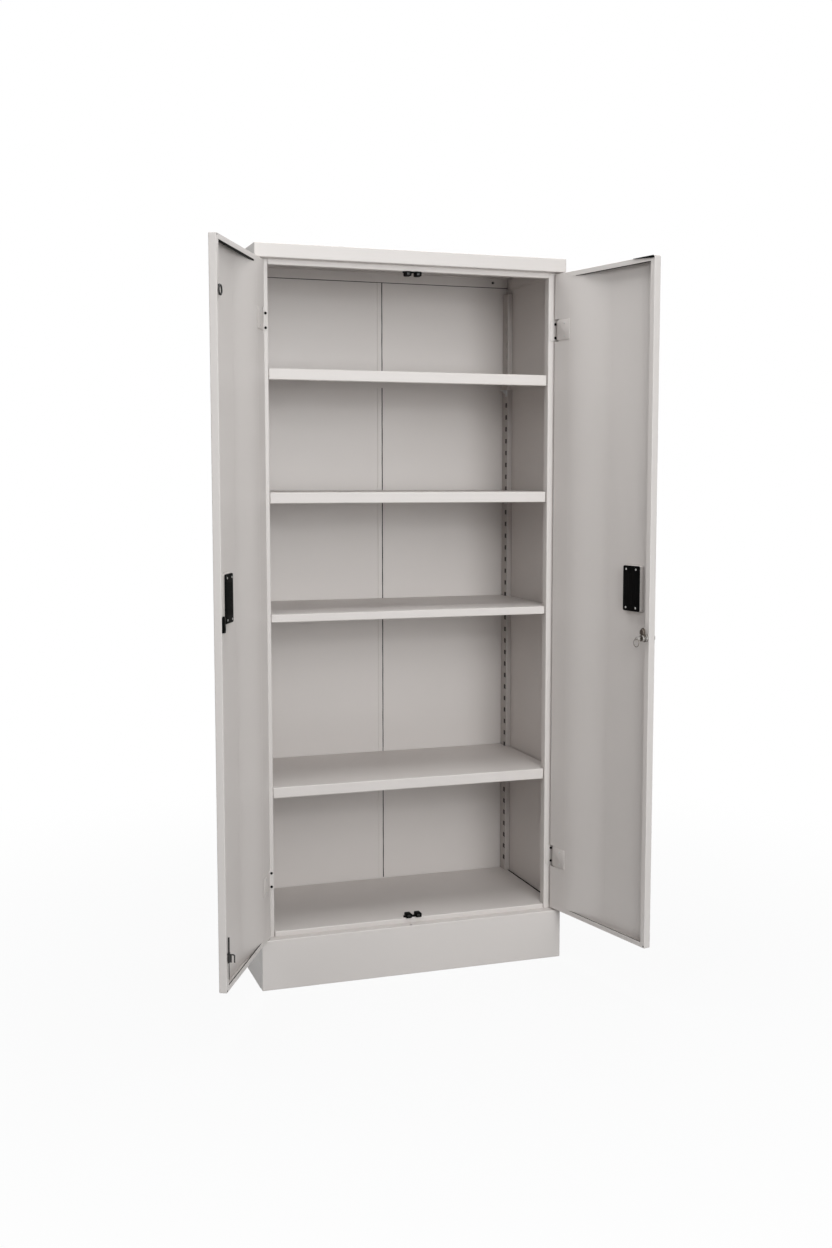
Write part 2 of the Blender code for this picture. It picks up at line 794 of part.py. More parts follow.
def build_handle(side, carrier, plastic):
    """Recessed pull: a bezel on the skin, a tub behind it and the riveted inner plate."""
    name = "handle_cup_right" if side > 0 else "handle_cup_left"
    cx, _, cz = local(side, handle_free_distance, 0.0, handle_height)
    front = -hinge_axis_depth

    def plate(width, height, corner):
        return [(cx + a, cz + b) for a, b in rounded_outline(width, height, corner)]

    bezel = prism_bmesh(
        plate(handle_bezel_width, handle_bezel_height, handle_corner),
        front - handle_bezel_proud - fit_gap, front - fit_gap, "Y")
    item = place(name, mesh_from_bmesh(name, bezel), plastic, carrier)
    tub_back = front + handle_tub_depth
    tub = prism_bmesh(plate(handle_plate_width, handle_plate_height, handle_corner),
                      front - handle_bezel_proud / 2 - fit_gap, tub_back, "Y")
    weld(item, f"{name}_tub", tub, carrier)
    inner_width = handle_plate_width - handle_wall * 2
    inner_height = handle_plate_height - handle_wall * 2
    floor = tub_back - handle_plate_thickness
    mouth = front - handle_bezel_proud - overrun
    low = cx - inner_width / 2
    high = cx + inner_width / 2
    sag = handle_wall
    steps = 6
    curve = []
    for step in range(steps + 1):
        share = step / steps
        curve.append((high + (low - high) * share, floor - sag + sag * math.sin(math.pi * share)))
    profile = [(low, mouth), (high, mouth)] + curve
    hollow = prism_bmesh(profile, cz - inner_height / 2, cz + inner_height / 2, "Z")
    cut(item, f"{name}_hollow", hollow, carrier)
    grip_x = low if side > 0 else high
    bite = handle_wall / 4
    span = sorted((grip_x - side * bite, grip_x + side * handle_grip_reach))
    grip = box_bmesh((span[0], front - handle_bezel_proud / 2 - fit_gap, cz - inner_height / 2 - bite),
                     (span[1], front - fit_gap + handle_wall, cz + inner_height / 2 + bite))
    weld(item, f"{name}_grip", grip, carrier)
    return item


def build_hinges(side, carrier):
    """Frame leaves with their pins on the post, and door leaves on the door."""
    made = []
    label_side = "right" if side > 0 else "left"
    third = hinge_height / 3
    for label, level in hinge_levels().items():
        low = level - hinge_height / 2
        high = level + hinge_height / 2
        axis = (side * hinge_x, hinge_axis_depth)
        face = door_recess - fit_gap
        near = face - leaf_sheet
        arm_out = axis[0] + side * frame_leaf_offset
        arm_in = arm_out - side * leaf_sheet
        plate_end = arm_out - side * frame_leaf_width
        xs = sorted((arm_out, plate_end))
        name = f"hinge_{label_side}_{label}_frame_leaf"
        item = place(name, mesh_from_bmesh(name, box_bmesh((xs[0], near, low), (xs[1], face, high))), finishes["hinge"])
        ends = ((low, low + third - knuckle_gap), (high - third + knuckle_gap, high))
        for number, (start, end) in enumerate(ends):
            xs = sorted((arm_out, arm_in))
            weld(item, f"{name}_arm_{number}", box_bmesh((xs[0], axis[1], start), (xs[1], near + leaf_sheet / 2, end)))
            weld(item, f"{name}_knuckle_{number}", cylinder_bmesh((*axis, start), (*axis, end), knuckle_radius))
        weld(item, f"{name}_pin", cylinder_bmesh((*axis, low + steel), (*axis, high - steel), pin_radius, 12))
        made.append(item)

        name = f"hinge_{label_side}_{label}_door_leaf"
        plate_low = door_thickness - hinge_axis_depth + fit_gap
        plate_high = plate_low + leaf_sheet
        knuckle_side = -side * (knuckle_radius - leaf_sheet)
        web_in = -side * (knuckle_radius + leaf_sheet)
        end = -side * (knuckle_radius + leaf_reach)
        xs = sorted((web_in + side * leaf_sheet, end))
        body = box_bmesh((xs[0], plate_low, low), (xs[1], plate_high, high))
        item = place(name, mesh_from_bmesh(name, body), finishes["hinge"], carrier)
        start = low + third
        stop = high - third
        xs = sorted((web_in, web_in + side * leaf_sheet))
        weld(item, f"{name}_web", box_bmesh((xs[0], -leaf_sheet / 2, start), (xs[1], plate_high - steel / 4, stop)), carrier)
        xs = sorted((web_in + side * steel / 4, knuckle_side))
        weld(item, f"{name}_bridge", box_bmesh((xs[0], -leaf_sheet / 2, start), (xs[1], leaf_sheet / 2, stop)), carrier)
        weld(item, f"{name}_knuckle", cylinder_bmesh((0.0, 0.0, start), (0.0, 0.0, stop), knuckle_radius), carrier)
        bore = cylinder_bmesh((0.0, 0.0, start - overrun), (0.0, 0.0, stop + overrun), pin_radius + pin_clearance, 12)
        cut(item, f"{name}_bore", bore, carrier)
        made.append(item)
    return made


def build_lock(carrier):
    """Cam lock of the right door: fixed barrel, turning plug with cam and key, hanging ring."""
    x, _, z = local(1, lock_free_distance, 0.0, lock_height)
    front = -hinge_axis_depth
    item = place("lock_barrel", mesh_from_bmesh("lock_barrel", cylinder_bmesh(
        (x, front - lock_bezel_proud - fit_gap, z), (x, front - fit_gap, z), lock_bezel_radius, 24)),
        finishes["chrome"], carrier)
    reach = front + lock_barrel_reach
    weld(item, "lock_barrel_body", cylinder_bmesh(
        (x, front - lock_bezel_proud / 2 - fit_gap, z), (x, reach, z), lock_barrel_radius, 24), carrier)
    nut_start = front + door_thickness + fit_gap
    weld(item, "lock_barrel_nut", cylinder_bmesh(
        (x, nut_start, z), (x, nut_start + lock_nut_depth, z), lock_nut_radius, 6), carrier)
    cut(item, "lock_barrel_bore", cylinder_bmesh(
        (x, front - lock_bezel_proud - overrun, z), (x, reach + overrun, z), plug_radius + plug_clearance, 20), carrier)
    return item, (x, reach, z)


def lock_root(carrier, place_at):
    """Return the empty on the lock's axis."""
    turn = bpy.data.objects.new("lock_axis", None)
    bpy.context.scene.collection.objects.link(turn)
    turn.parent = carrier
    turn.location = (place_at[0], 0.0, place_at[2])
    return turn


def build_lock_cam(turn):
    """Plug that turns in the barrel, with the cam that reaches behind the other door."""
    front = -hinge_axis_depth - lock_bezel_proud - fit_gap
    reach = -hinge_axis_depth + lock_barrel_reach
    cam_low = reach + cam_running_gap
    cam_high = cam_low + cam_thickness
    plug = cylinder_bmesh((0.0, front, 0.0), (0.0, cam_low + cam_thickness / 2, 0.0), plug_radius, 20)
    item = place("lock_cam", mesh_from_bmesh("lock_cam", plug), finishes["cam"], turn)
    half = cam_width / 2
    steps = 8
    outline = []
    for step in range(steps + 1):
        angle = math.pi * step / steps
        outline.append((half * math.cos(angle), cam_length - half + half * math.sin(angle)))
    for step in range(steps + 1):
        angle = math.pi + math.pi * step / steps
        outline.append((lock_barrel_radius * math.cos(angle), lock_barrel_radius * math.sin(angle)))
    weld(item, "lock_cam_plate", prism_bmesh(outline, cam_low, cam_high, "Y"), turn)
    weld(item, "lock_cam_boss", cylinder_bmesh(
        (0.0, cam_high - steel / 2, 0.0), (0.0, cam_high + cam_thickness, 0.0), plug_radius, 6), turn)
    slot = box_bmesh((-key_thickness / 2 - fit_gap, cam_high, -key_width / 2 - fit_gap),
                     (key_thickness / 2 + fit_gap, cam_high + cam_thickness + overrun, key_width / 2 + fit_gap))
    cut(item, "lock_cam_key_slot", slot, turn)
    return item, cam_high


def build_key(turn, seat):
    """Flat key standing in the plug, with the eye that its ring hangs from."""
    start = seat + fit_gap
    end = start + key_reach
    half = key_width / 2
    steps = 6
    outline = [(start, -half), (end - half, -half)]
    for step in range(1, steps):
        angle = -math.pi / 2 + math.pi * step / steps
        outline.append((end - half + half * math.cos(angle), half * math.sin(angle)))
    outline += [(end - half, half), (start, half)]
    body = prism_bmesh(outline, -key_thickness / 2, key_thickness / 2, "X")
    item = place("lock_key", mesh_from_bmesh("lock_key", body), finishes["chrome"], turn)
    eye = (end - half, 0.0)
    cut(item, "lock_key_eye", cylinder_bmesh(
        (-overrun, eye[0], eye[1]), (overrun, eye[0], eye[1]), key_eye_radius, 12), turn)
    return item, eye[0]


def build_key_ring(turn, eye_depth):
    """Wire ring that hangs through the key's eye."""
    hook = bpy.data.objects.new("ring_axis", None)
    bpy.context.scene.collection.objects.link(hook)
    hook.parent = turn
    rest = -(key_eye_radius - ring_wire_radius - fit_gap)
    hook.location = (0.0, eye_depth, rest)
    body = ring_bmesh((0.0, 0.0, -ring_radius), ring_radius, ring_wire_radius, "Y", 20, 6)
    return place("key_ring", mesh_from_bmesh("key_ring", body), finishes["chrome"], hook)


def ring_bmesh(centre, radius, wire, axis, steps, sides):
    """Return a wire ring about an axis, made by spinning its round section."""
    centre = Vector(centre)
    direction = {"X": Vector((1, 0, 0)), "Y": Vector((0, 1, 0)), "Z": Vector((0, 0, 1))}[axis]
    outward = {"X": Vector((0, 1, 0)), "Y": Vector((1, 0, 0)), "Z": Vector((1, 0, 0))}[axis]
    body = bmesh.new()
    section = []
    for side in range(sides):
        angle = 2 * math.pi * side / sides
        section.append(body.verts.new(
            centre + outward * (radius + wire * math.cos(angle)) + direction * wire * math.sin(angle)))
    edges = [body.edges.new((section[i], section[(i + 1) % sides])) for i in range(sides)]
    bmesh.ops.spin(body, geom=edges, cent=centre, axis=direction, angle=2 * math.pi, steps=steps, use_merge=True)
    return closed_bmesh(body)


def bolt_ends():
    """Direction, door end and distance of the pull from that end, for each bolt."""
    return (("top", 1.0, door_top, bolt_pull_distances[0]), ("bottom", -1.0, door_bottom, bolt_pull_distances[1]))


def build_bolts(carrier):
    """Top and bottom bolts of the left door: a rod, a stem through the lip and a pull."""
    x = local(-1, bolt_free_distance, 0.0)[0]
    y = bolt_axis_depth - hinge_axis_depth
    plane = door_thickness + bolt_plane_gap - bolt_axis_depth
    for label, way, end, pull_distance in bolt_ends():
        tip = end - way * bolt_tip_setback
        slide = bpy.data.objects.new(f"bolt_{label}_axis", None)
        bpy.context.scene.collection.objects.link(slide)
        slide.parent = carrier
        slide.location = (x, y, tip)
        name = f"bolt_{label}"
        rod = cylinder_bmesh((0.0, 0.0, 0.0), (0.0, 0.0, -way * bolt_length), bolt_radius, 14)
        item = place(name, mesh_from_bmesh(name, rod), finishes["black"], slide)
        level = end - way * pull_distance - tip
        if label == "top":
            wire = bolt_ring_wire
            drop = math.sqrt(bolt_ring_radius ** 2 - bolt_ring_offset ** 2)
            centre = (-bolt_ring_offset, plane + wire, level - drop)
            pull = ring_bmesh(centre, bolt_ring_radius, wire, "Y", 24, 8)
            weld(item, f"{name}_ring", pull, slide)
        else:
            wire = bolt_hoop_wire / 2
            near = bolt_hoop_start
            far = bolt_hoop_reach
            half = bolt_grip_width / 2
            top = level + bolt_grip_rise
            grip = box_bmesh((-half, plane, top - bolt_grip_height), (half, plane + bolt_grip_thickness, top))
            weld(item, f"{name}_grip", grip, slide)
            seat = bolt_grip_thickness / 2
            foot = wire - bolt_hoop_height
            outline = [
                (seat, wire), (seat, -wire), (near, -wire), (near, foot), (near + wire * 2, foot),
                (near + wire * 2, -wire), (far - wire * 2, -wire), (far - wire * 2, foot), (far, foot), (far, wire)]
            hoop = prism_bmesh([(plane + a, level + b) for a, b in outline], -wire, wire, "X")
            weld(item, f"{name}_hoop", hoop, slide)
        stem = cylinder_bmesh((0.0, 0.0, level), (0.0, plane + wire, level), bolt_stem_radius, 12)
        weld(item, f"{name}_stem", stem, slide)


def add_bolt_guides(door, carrier):
    """Guides inside the left door's free edge, bores in its end flanges, slots in its lip."""
    x = local(-1, bolt_free_distance, 0.0)[0]
    y = bolt_axis_depth - hinge_axis_depth
    hole = bolt_radius + bolt_clearance
    skin = steel - hinge_axis_depth
    lip = door_thickness - half_steel - hinge_axis_depth
    for label, way, end, pull_distance in bolt_ends():
        for number, distance in enumerate(bolt_guide_distances):
            level = end - way * distance
            half = bolt_guide_width / 2
            roof = y + bolt_radius + bolt_guide_wall
            guide = box_bmesh((x - half, skin - half_steel, level - bolt_guide_height / 2),
                              (x + half, roof, level + bolt_guide_height / 2))
            weld(door, f"bolt_guide_{label}_{number}", guide, carrier)
        start = end - way * (bolt_length + bolt_guide_distances[0])
        bore = cylinder_bmesh((x, y, start), (x, y, end + way * overrun), hole, 14)
        cut(door, f"bolt_bore_{label}", bore, carrier)
        stem = end - way * pull_distance
        half = bolt_stem_radius + bolt_clearance
        zs = sorted((stem - way * (half + bolt_slot_margin), stem + way * (half + bolt_slot_margin + bolt_travel)))
        slot = box_bmesh((x - half, lip - steel, zs[0]), (x + half, lip + steel, zs[1]))
        cut(door, f"bolt_slot_{label}", slot, carrier)


def build_keeper(carrier, plastic):
    """Black keeper on the left door's free lip, forked at its lower end."""
    x = local(-1, door_free_lip / 2, 0.0)[0]
    low = door_thickness - hinge_axis_depth + fit_gap
    half = keeper_width / 2
    top = keeper_height + keeper_length / 2
    bottom = keeper_height - keeper_length / 2
    fork = bottom + keeper_prong_length
    prong = keeper_prong_width
    outline = [
        (x - half, bottom), (x - half + prong, bottom), (x - half + prong, fork), (x + half - prong, fork),
        (x + half - prong, bottom), (x + half, bottom), (x + half, top - prong), (x + half - prong, top),
        (x - half + prong, top), (x - half, top - prong)]
    body = prism_bmesh(outline, low, low + keeper_thickness, "Y")
    return place("keeper_left", mesh_from_bmesh("keeper_left", body), plastic, carrier)


def build_wedge(carrier, plastic):
    """Wedge on the inner face of the right door's top lip, tallest at the free end."""
    thick = local(1, wedge_start, 0.0)[0]
    thin = local(1, wedge_start + wedge_length, 0.0)[0]
    start = door_thickness - hinge_axis_depth + fit_gap
    outline = [(thick, door_top), (thin, door_top), (thin, door_top - wedge_tip_height),
               (thick, door_top - wedge_height)]
    body = prism_bmesh(outline, start, start + wedge_thickness, "Y")
    return place("top_wedge_right", mesh_from_bmesh("top_wedge_right", body), plastic, carrier)


def catch_level(label):
    """Height of the face that a catch is fixed to."""
    return lintel_bottom - fit_gap if label == "top" else floor_height + fit_gap


def move_to_origin():
    """Move the cabinet so that the origin lies on the foot folded under the plinth."""
    for item in bpy.context.scene.objects:
        if item.parent is None:
            item.location.y -= plinth_foot_depth / 2


def main():
    """Build the whole cabinet."""
    paint = finishes["paint"]
    for side in (-1, 1):
        build_side_panel(side, paint)
    build_top_panel(paint)
    build_plinth(paint)
    build_rear_rail(paint)
    build_back_panels(paint)
    build_back_top_rail(paint)
    build_floor_pan(paint)
    for index in range(len(shelf_slot_shares)):
        build_shelf(index, paint)
    for front in (True, False):
        for side in (-1, 1):
            build_upright(side, front, paint)
    build_clips()
    build_catch("catch_top", catch_level("top"), -1.0, finishes["black"])
    build_catch("catch_bottom", catch_level("bottom"), 1.0, finishes["black"])
    for side in (-1, 1):
        carrier = door_root(side)
        door = build_door(side, carrier, paint)
        build_handle(side, carrier, finishes["black"])
        build_hinges(side, carrier)
        if side > 0:
            barrel, seat = build_lock(carrier)
            x, _, z = seat
            for label, depth in (("skin", 0.0), ("lip", door_thickness)):
                middle = depth - hinge_axis_depth
                hole = cylinder_bmesh((x, middle - overrun, z), (x, middle + overrun, z),
                                      lock_barrel_radius + fit_gap, 24)
                cut(door, f"door_right_lock_hole_{label}", hole, carrier)
            turn = lock_root(carrier, seat)
            cam, cam_face = build_lock_cam(turn)
            key, eye = build_key(turn, cam_face)
            build_key_ring(turn, eye)
            build_wedge(carrier, finishes["black"])
        else:
            build_bolts(carrier)
            add_bolt_guides(door, carrier)
            build_keeper(carrier, finishes["black"])
    move_to_origin()


finishes = {}
clear_scene()
finishes["paint"] = make_material("paint", (0.62, 0.60, 0.57), 0.45, 0.0)
finishes["zinc"] = make_material("zinc", (0.55, 0.55, 0.55), 0.35, 1.0)
finishes["hinge"] = make_material("hinge", (0.60, 0.58, 0.55), 0.45, 0.0)
finishes["chrome"] = make_material("chrome", (0.75, 0.74, 0.72), 0.20, 1.0)
finishes["cam"] = make_material("cam", (0.45, 0.42, 0.38), 0.30, 1.0)
finishes["black"] = make_material("black", (0.015, 0.015, 0.015), 0.40, 0.0)
main()
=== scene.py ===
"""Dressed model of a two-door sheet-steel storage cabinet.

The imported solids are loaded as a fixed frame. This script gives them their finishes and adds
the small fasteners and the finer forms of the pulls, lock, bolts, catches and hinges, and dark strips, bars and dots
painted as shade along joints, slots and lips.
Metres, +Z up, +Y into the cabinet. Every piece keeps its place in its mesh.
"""
from __future__ import annotations

import json
import logging
import math
from dataclasses import dataclass, field
from enum import Enum
from typing import Callable, Iterable, Sequence

import bmesh
import bpy
from mathutils import Matrix, Vector
from mathutils.bvhtree import BVHTree

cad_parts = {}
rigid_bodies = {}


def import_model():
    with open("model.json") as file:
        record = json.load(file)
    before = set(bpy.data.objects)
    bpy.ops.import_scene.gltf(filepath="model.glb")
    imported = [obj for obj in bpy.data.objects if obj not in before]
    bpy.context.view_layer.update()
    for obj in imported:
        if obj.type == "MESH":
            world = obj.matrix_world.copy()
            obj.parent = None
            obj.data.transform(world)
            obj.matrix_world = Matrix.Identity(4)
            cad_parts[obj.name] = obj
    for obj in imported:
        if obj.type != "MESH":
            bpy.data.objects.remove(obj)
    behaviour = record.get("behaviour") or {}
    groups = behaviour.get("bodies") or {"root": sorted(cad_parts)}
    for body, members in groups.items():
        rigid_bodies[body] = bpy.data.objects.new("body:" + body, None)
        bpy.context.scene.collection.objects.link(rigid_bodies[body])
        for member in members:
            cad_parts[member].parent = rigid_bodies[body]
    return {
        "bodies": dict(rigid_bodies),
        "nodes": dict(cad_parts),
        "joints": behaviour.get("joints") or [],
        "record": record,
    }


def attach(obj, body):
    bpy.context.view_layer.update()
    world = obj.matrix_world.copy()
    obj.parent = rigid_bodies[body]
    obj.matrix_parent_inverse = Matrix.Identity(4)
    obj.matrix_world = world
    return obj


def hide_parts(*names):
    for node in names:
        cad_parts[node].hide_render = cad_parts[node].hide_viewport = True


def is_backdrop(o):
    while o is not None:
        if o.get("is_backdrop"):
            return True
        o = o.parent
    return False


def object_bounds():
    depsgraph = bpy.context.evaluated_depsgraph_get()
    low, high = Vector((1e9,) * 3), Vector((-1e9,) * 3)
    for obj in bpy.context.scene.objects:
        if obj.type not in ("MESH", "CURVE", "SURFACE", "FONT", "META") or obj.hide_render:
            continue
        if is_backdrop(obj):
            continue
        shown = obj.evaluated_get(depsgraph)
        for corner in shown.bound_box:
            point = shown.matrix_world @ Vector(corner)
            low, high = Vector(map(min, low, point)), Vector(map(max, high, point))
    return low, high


log = logging.getLogger("cabinet")
Colour = tuple[float, float, float]
Point = tuple[float, float, float]
PHOTO_WIDTH = 832
PHOTO_HEIGHT = 1248
ORIGIN_SHIFT = 0.011
WHITE: Colour = (1.0, 1.0, 1.0)


# Node trees and finishes


class Graph:
    """Adds nodes to one tree and joins their sockets."""

    def __init__(self, tree: bpy.types.NodeTree) -> None:
        """Keep the tree that the nodes go into.

        Args:
            tree: The material, world or geometry tree.
        """
        self.tree = tree

    def add(self, kind: str, settings: dict[str, object] | None = None, **sockets: object) -> bpy.types.Node:
        """Add a node.

        Args:
            kind: The node's type name.
            settings: Values of the node's own properties.
            sockets: Values or source sockets of its inputs; underscores stand for spaces.

        Returns:
            The new node.
        """
        node = self.tree.nodes.new(kind)
        for key, value in (settings or {}).items():
            setattr(node, key, value)
        for key, value in sockets.items():
            self.feed(node.inputs[key.replace("_", " ")], value)
        return node

    def feed(self, target: bpy.types.NodeSocket, value: object) -> None:
        """Give a socket a value, or join another socket to it.

        Args:
            target: The input socket.
            value: A number, a tuple or a source socket.
        """
        if isinstance(value, bpy.types.NodeSocket):
            self.tree.links.new(value, target)
        else:
            target.default_value = value

    def calc(self, operation: str, *values: object) -> bpy.types.NodeSocket:
        """Add a Math node.

        Args:
            operation: The operation's name.
            values: Up to three numbers or source sockets.

        Returns:
            The result's socket.
        """
        kind = "ShaderNodeMath"
        node = self.tree.nodes.new(kind)
        node.operation = operation
        for socket, value in zip(node.inputs, values):
            self.feed(socket, value)
        return node.outputs[0]

    def vector_calc(self, operation: str, *values: object) -> bpy.types.NodeSocket:
        """Add a Vector Math node.

        Args:
            operation: The operation's name.
            values: Vectors or source sockets.

        Returns:
            The vector result's socket.
        """
        node = self.tree.nodes.new("ShaderNodeVectorMath")
        node.operation = operation
        for socket, value in zip(node.inputs, values):
            self.feed(socket, value)
        return node.outputs["Vector"]


class Surface(Graph):
    """A shader graph with the patterns that the finishes share."""

    def __init__(self, tree: bpy.types.NodeTree) -> None:
        """Start from an empty tree with object coordinates.

        Args:
            tree: The material's tree.
        """
        super().__init__(tree)
        tree.nodes.clear()
        self.place = self.add("ShaderNodeTexCoord").outputs["Object"]

    def noise(self, scale: float, detail: float = 2.0, rough: float = 0.5,
              stretch: Point | None = None) -> bpy.types.NodeSocket:
        """Add a noise pattern on object coordinates.

        Args:
            scale: Pattern cells per metre.
            detail: Number of finer layers.
            rough: Weight of the finer layers.
            stretch: Scale of the coordinates along each axis.

        Returns:
            The noise value's socket.
        """
        place = self.place
        if stretch is not None:
            place = self.vector_calc("MULTIPLY", place, stretch)
        return self.add("ShaderNodeTexNoise", None, Vector=place, Scale=scale, Detail=detail,
                        Roughness=rough).outputs["Fac"]

    def between(self, factor: object, low: float, high: float) -> bpy.types.NodeSocket:
        """Map a factor from 0..1 to a span.

        Args:
            factor: The source socket.
            low: Result at 0.
            high: Result at 1.

        Returns:
            The mapped value's socket.
        """
        return self.add("ShaderNodeMapRange", None, Value=factor, To_Min=low, To_Max=high).outputs["Result"]

    def tint(self, factor: object, first: object, second: object) -> bpy.types.NodeSocket:
        """Mix two colours.

        Args:
            factor: Share of the second colour.
            first: Colour or socket.
            second: Colour or socket.

        Returns:
            The mixed colour's socket.
        """
        node = self.tree.nodes.new("ShaderNodeMix")
        node.data_type = "RGBA"
        self.feed(node.inputs[0], factor)
        for socket, value in ((node.inputs[6], first), (node.inputs[7], second)):
            self.feed(socket, (*value, 1.0) if isinstance(value, tuple) else value)
        return node.outputs[2]

    def edge(self, radius: float, low: float = 0.02, high: float = 0.30) -> bpy.types.NodeSocket:
        """Mask the folds and corners, where a rounded normal leaves the true one.

        Args:
            radius: Reach of the mask from an edge.
            low: Departure at which the mask starts.
            high: Departure at which it is full.

        Returns:
            The mask's socket, 1 on an edge.
        """
        rounded = self.add("ShaderNodeBevel", {"samples": 4}, Radius=radius).outputs["Normal"]
        true = self.add("ShaderNodeNewGeometry").outputs["True Normal"]
        alike = self.tree.nodes.new("ShaderNodeVectorMath")
        alike.operation = "DOT_PRODUCT"
        self.feed(alike.inputs[0], rounded)
        self.feed(alike.inputs[1], true)
        apart = self.calc("SUBTRACT", 1.0, alike.outputs["Value"])
        return self.add("ShaderNodeMapRange", None, Value=apart, From_Min=low, From_Max=high).outputs["Result"]

    def bump(self, layers: Sequence[tuple[bpy.types.NodeSocket, float, float]]) -> bpy.types.NodeSocket:
        """Chain bump nodes.

        Args:
            layers: Height socket, strength and height in metres of each layer.

        Returns:
            The last normal's socket.
        """
        normal = None
        for height, strength, distance in layers:
            node = self.add("ShaderNodeBump", None, Height=height, Strength=strength, Distance=distance)
            if normal is not None:
                self.feed(node.inputs["Normal"], normal)
            normal = node.outputs["Normal"]
        return normal

    def close(self, **sockets: object) -> bpy.types.Node:
        """Add the shader and the output.

        Args:
            sockets: Values and sources of the shader's inputs.

        Returns:
            The shader node.
        """
        shader = self.add("ShaderNodeBsdfPrincipled", None, **sockets)
        self.add("ShaderNodeOutputMaterial", None, Surface=shader.outputs[0])
        return shader


@dataclass(frozen=True)
class Finish:
    """A finish: its name, record slot, colour and gloss."""

    name: str
    slot: str
    colour: Colour
    roughness: float
    metallic: float = 0.0

    def material(self) -> bpy.types.Material:
        """Return the material, made once."""
        found = bpy.data.materials.get(self.name)
        if found is not None:
            return found
        made = bpy.data.materials.new(self.name)
        made.use_nodes = True
        self.paint(Surface(made.node_tree))
        made.diffuse_color = (*self.colour, 1.0)
        return made

    def shade(self, share: float) -> Colour:
        """Return the colour scaled by a share."""
        return tuple(min(1.0, part * share) for part in self.colour)

    def paint(self, surface: Surface) -> None:
        """Fill the tree; each finish has its own way."""
        raise NotImplementedError


@dataclass(frozen=True)
class PowderCoat(Finish):
    """Satin powder coat on folded sheet: orange peel, a faint waviness, and folds whose colour is scaled by a share:
    above 1 thinner paint plus a painted highlight, below 1 painted shade.
    """

    peel_scale: float = 620.0
    peel_height: float = 0.00006
    wave_height: float = 0.0012
    edge_reach: float = 0.0012
    painted_fold_light: float = 1.07
    sheen: float = 0.32

    def paint(self, surface: Surface) -> None:
        """Build the coat.

        Args:
            surface: The empty graph.
        """
        cloud = surface.noise(2.3, 2.0)
        speck = surface.noise(1400.0, 1.0)
        peel = surface.noise(self.peel_scale, 2.0, 0.45)
        wave = surface.noise(3.1, 1.0)
        tone = surface.tint(cloud, self.shade(0.975), self.shade(1.02))
        tone = surface.tint(surface.between(speck, 0.0, 0.10), tone, self.shade(0.86))
        # The folds' colour is scaled by a share: a painted highlight when it is above 1, painted shade when below.
        fold = surface.edge(self.edge_reach)
        tone = surface.tint(surface.calc("MULTIPLY", fold, 0.75), tone, self.shade(self.painted_fold_light))
        gloss = surface.calc("ADD", surface.between(surface.noise(16.0, 3.0), -0.05, 0.05), self.roughness)
        gloss = surface.calc("SUBTRACT", gloss, surface.calc("MULTIPLY", fold, 0.05))
        normal = surface.bump([(wave, 0.5, self.wave_height), (peel, 0.35, self.peel_height)])
        surface.close(Base_Color=tone, Roughness=gloss, Normal=normal, Metallic=self.metallic,
                      Specular_IOR_Level=self.sheen)


@dataclass(frozen=True)
class Plating(Finish):
    """Bright plating: fine drawn marks, a cloudy gloss, and edges whose colour is scaled by a share: above 1 bright
    wear plus a painted highlight, below 1 painted shade.
    """

    grain: Point = (900.0, 900.0, 90.0)
    grain_height: float = 0.00002
    cloud_scale: float = 60.0
    spread: float = 0.10
    dark_share: float = 0.72
    painted_edge_light: float = 1.15
    edge_reach: float = 0.0006
    rim: float = 1.0

    def paint(self, surface: Surface) -> None:
        """Build the plating.

        Args:
            surface: The empty graph.
        """
        grain = surface.noise(1.0, 3.0, 0.6, self.grain)
        cloud = surface.noise(self.cloud_scale, 4.0, 0.6)
        tone = surface.tint(cloud, self.shade(self.dark_share), self.shade(1.08))
        # The edges' colour is scaled by a share: a painted highlight when it is above 1, painted shade when below.
        fold = surface.edge(self.edge_reach)
        tone = surface.tint(surface.calc("MULTIPLY", fold, 0.6), tone, self.shade(self.painted_edge_light))
        gloss = surface.between(cloud, self.roughness - self.spread / 2, self.roughness + self.spread)
        normal = surface.bump([(grain, 0.4, self.grain_height)])
        surface.close(Base_Color=tone, Roughness=gloss, Normal=normal, Metallic=self.metallic,
                      Specular_Tint=(self.rim, self.rim, self.rim, 1.0))


@dataclass(frozen=True)
class MouldedPlastic(Finish):
    """Black moulding: a fine spark-eroded grain, greyer on its worn edges."""

    grain_scale: float = 2600.0
    grain_height: float = 0.00004
    sheen: float = 0.03
    worn: Colour = (0.012, 0.0115, 0.011)

    def paint(self, surface: Surface) -> None:
        """Build the plastic.

        Args:
            surface: The empty graph.
        """
        grain = surface.noise(self.grain_scale, 2.0, 0.6)
        cloud = surface.noise(45.0, 3.0)
        tone = surface.tint(cloud, self.shade(0.8), self.shade(1.3))
        fold = surface.edge(0.0008)
        tone = surface.tint(surface.calc("MULTIPLY", fold, 0.55), tone, self.worn)
        gloss = surface.between(surface.calc("ADD", surface.calc("MULTIPLY", grain, 0.5), surface.calc("MULTIPLY", cloud, 0.5)),
                                self.roughness - 0.08, self.roughness + 0.10)
        normal = surface.bump([(grain, 0.5, self.grain_height)])
        surface.close(Base_Color=tone, Roughness=gloss, Normal=normal, Metallic=self.metallic,
                      Specular_IOR_Level=self.sheen)


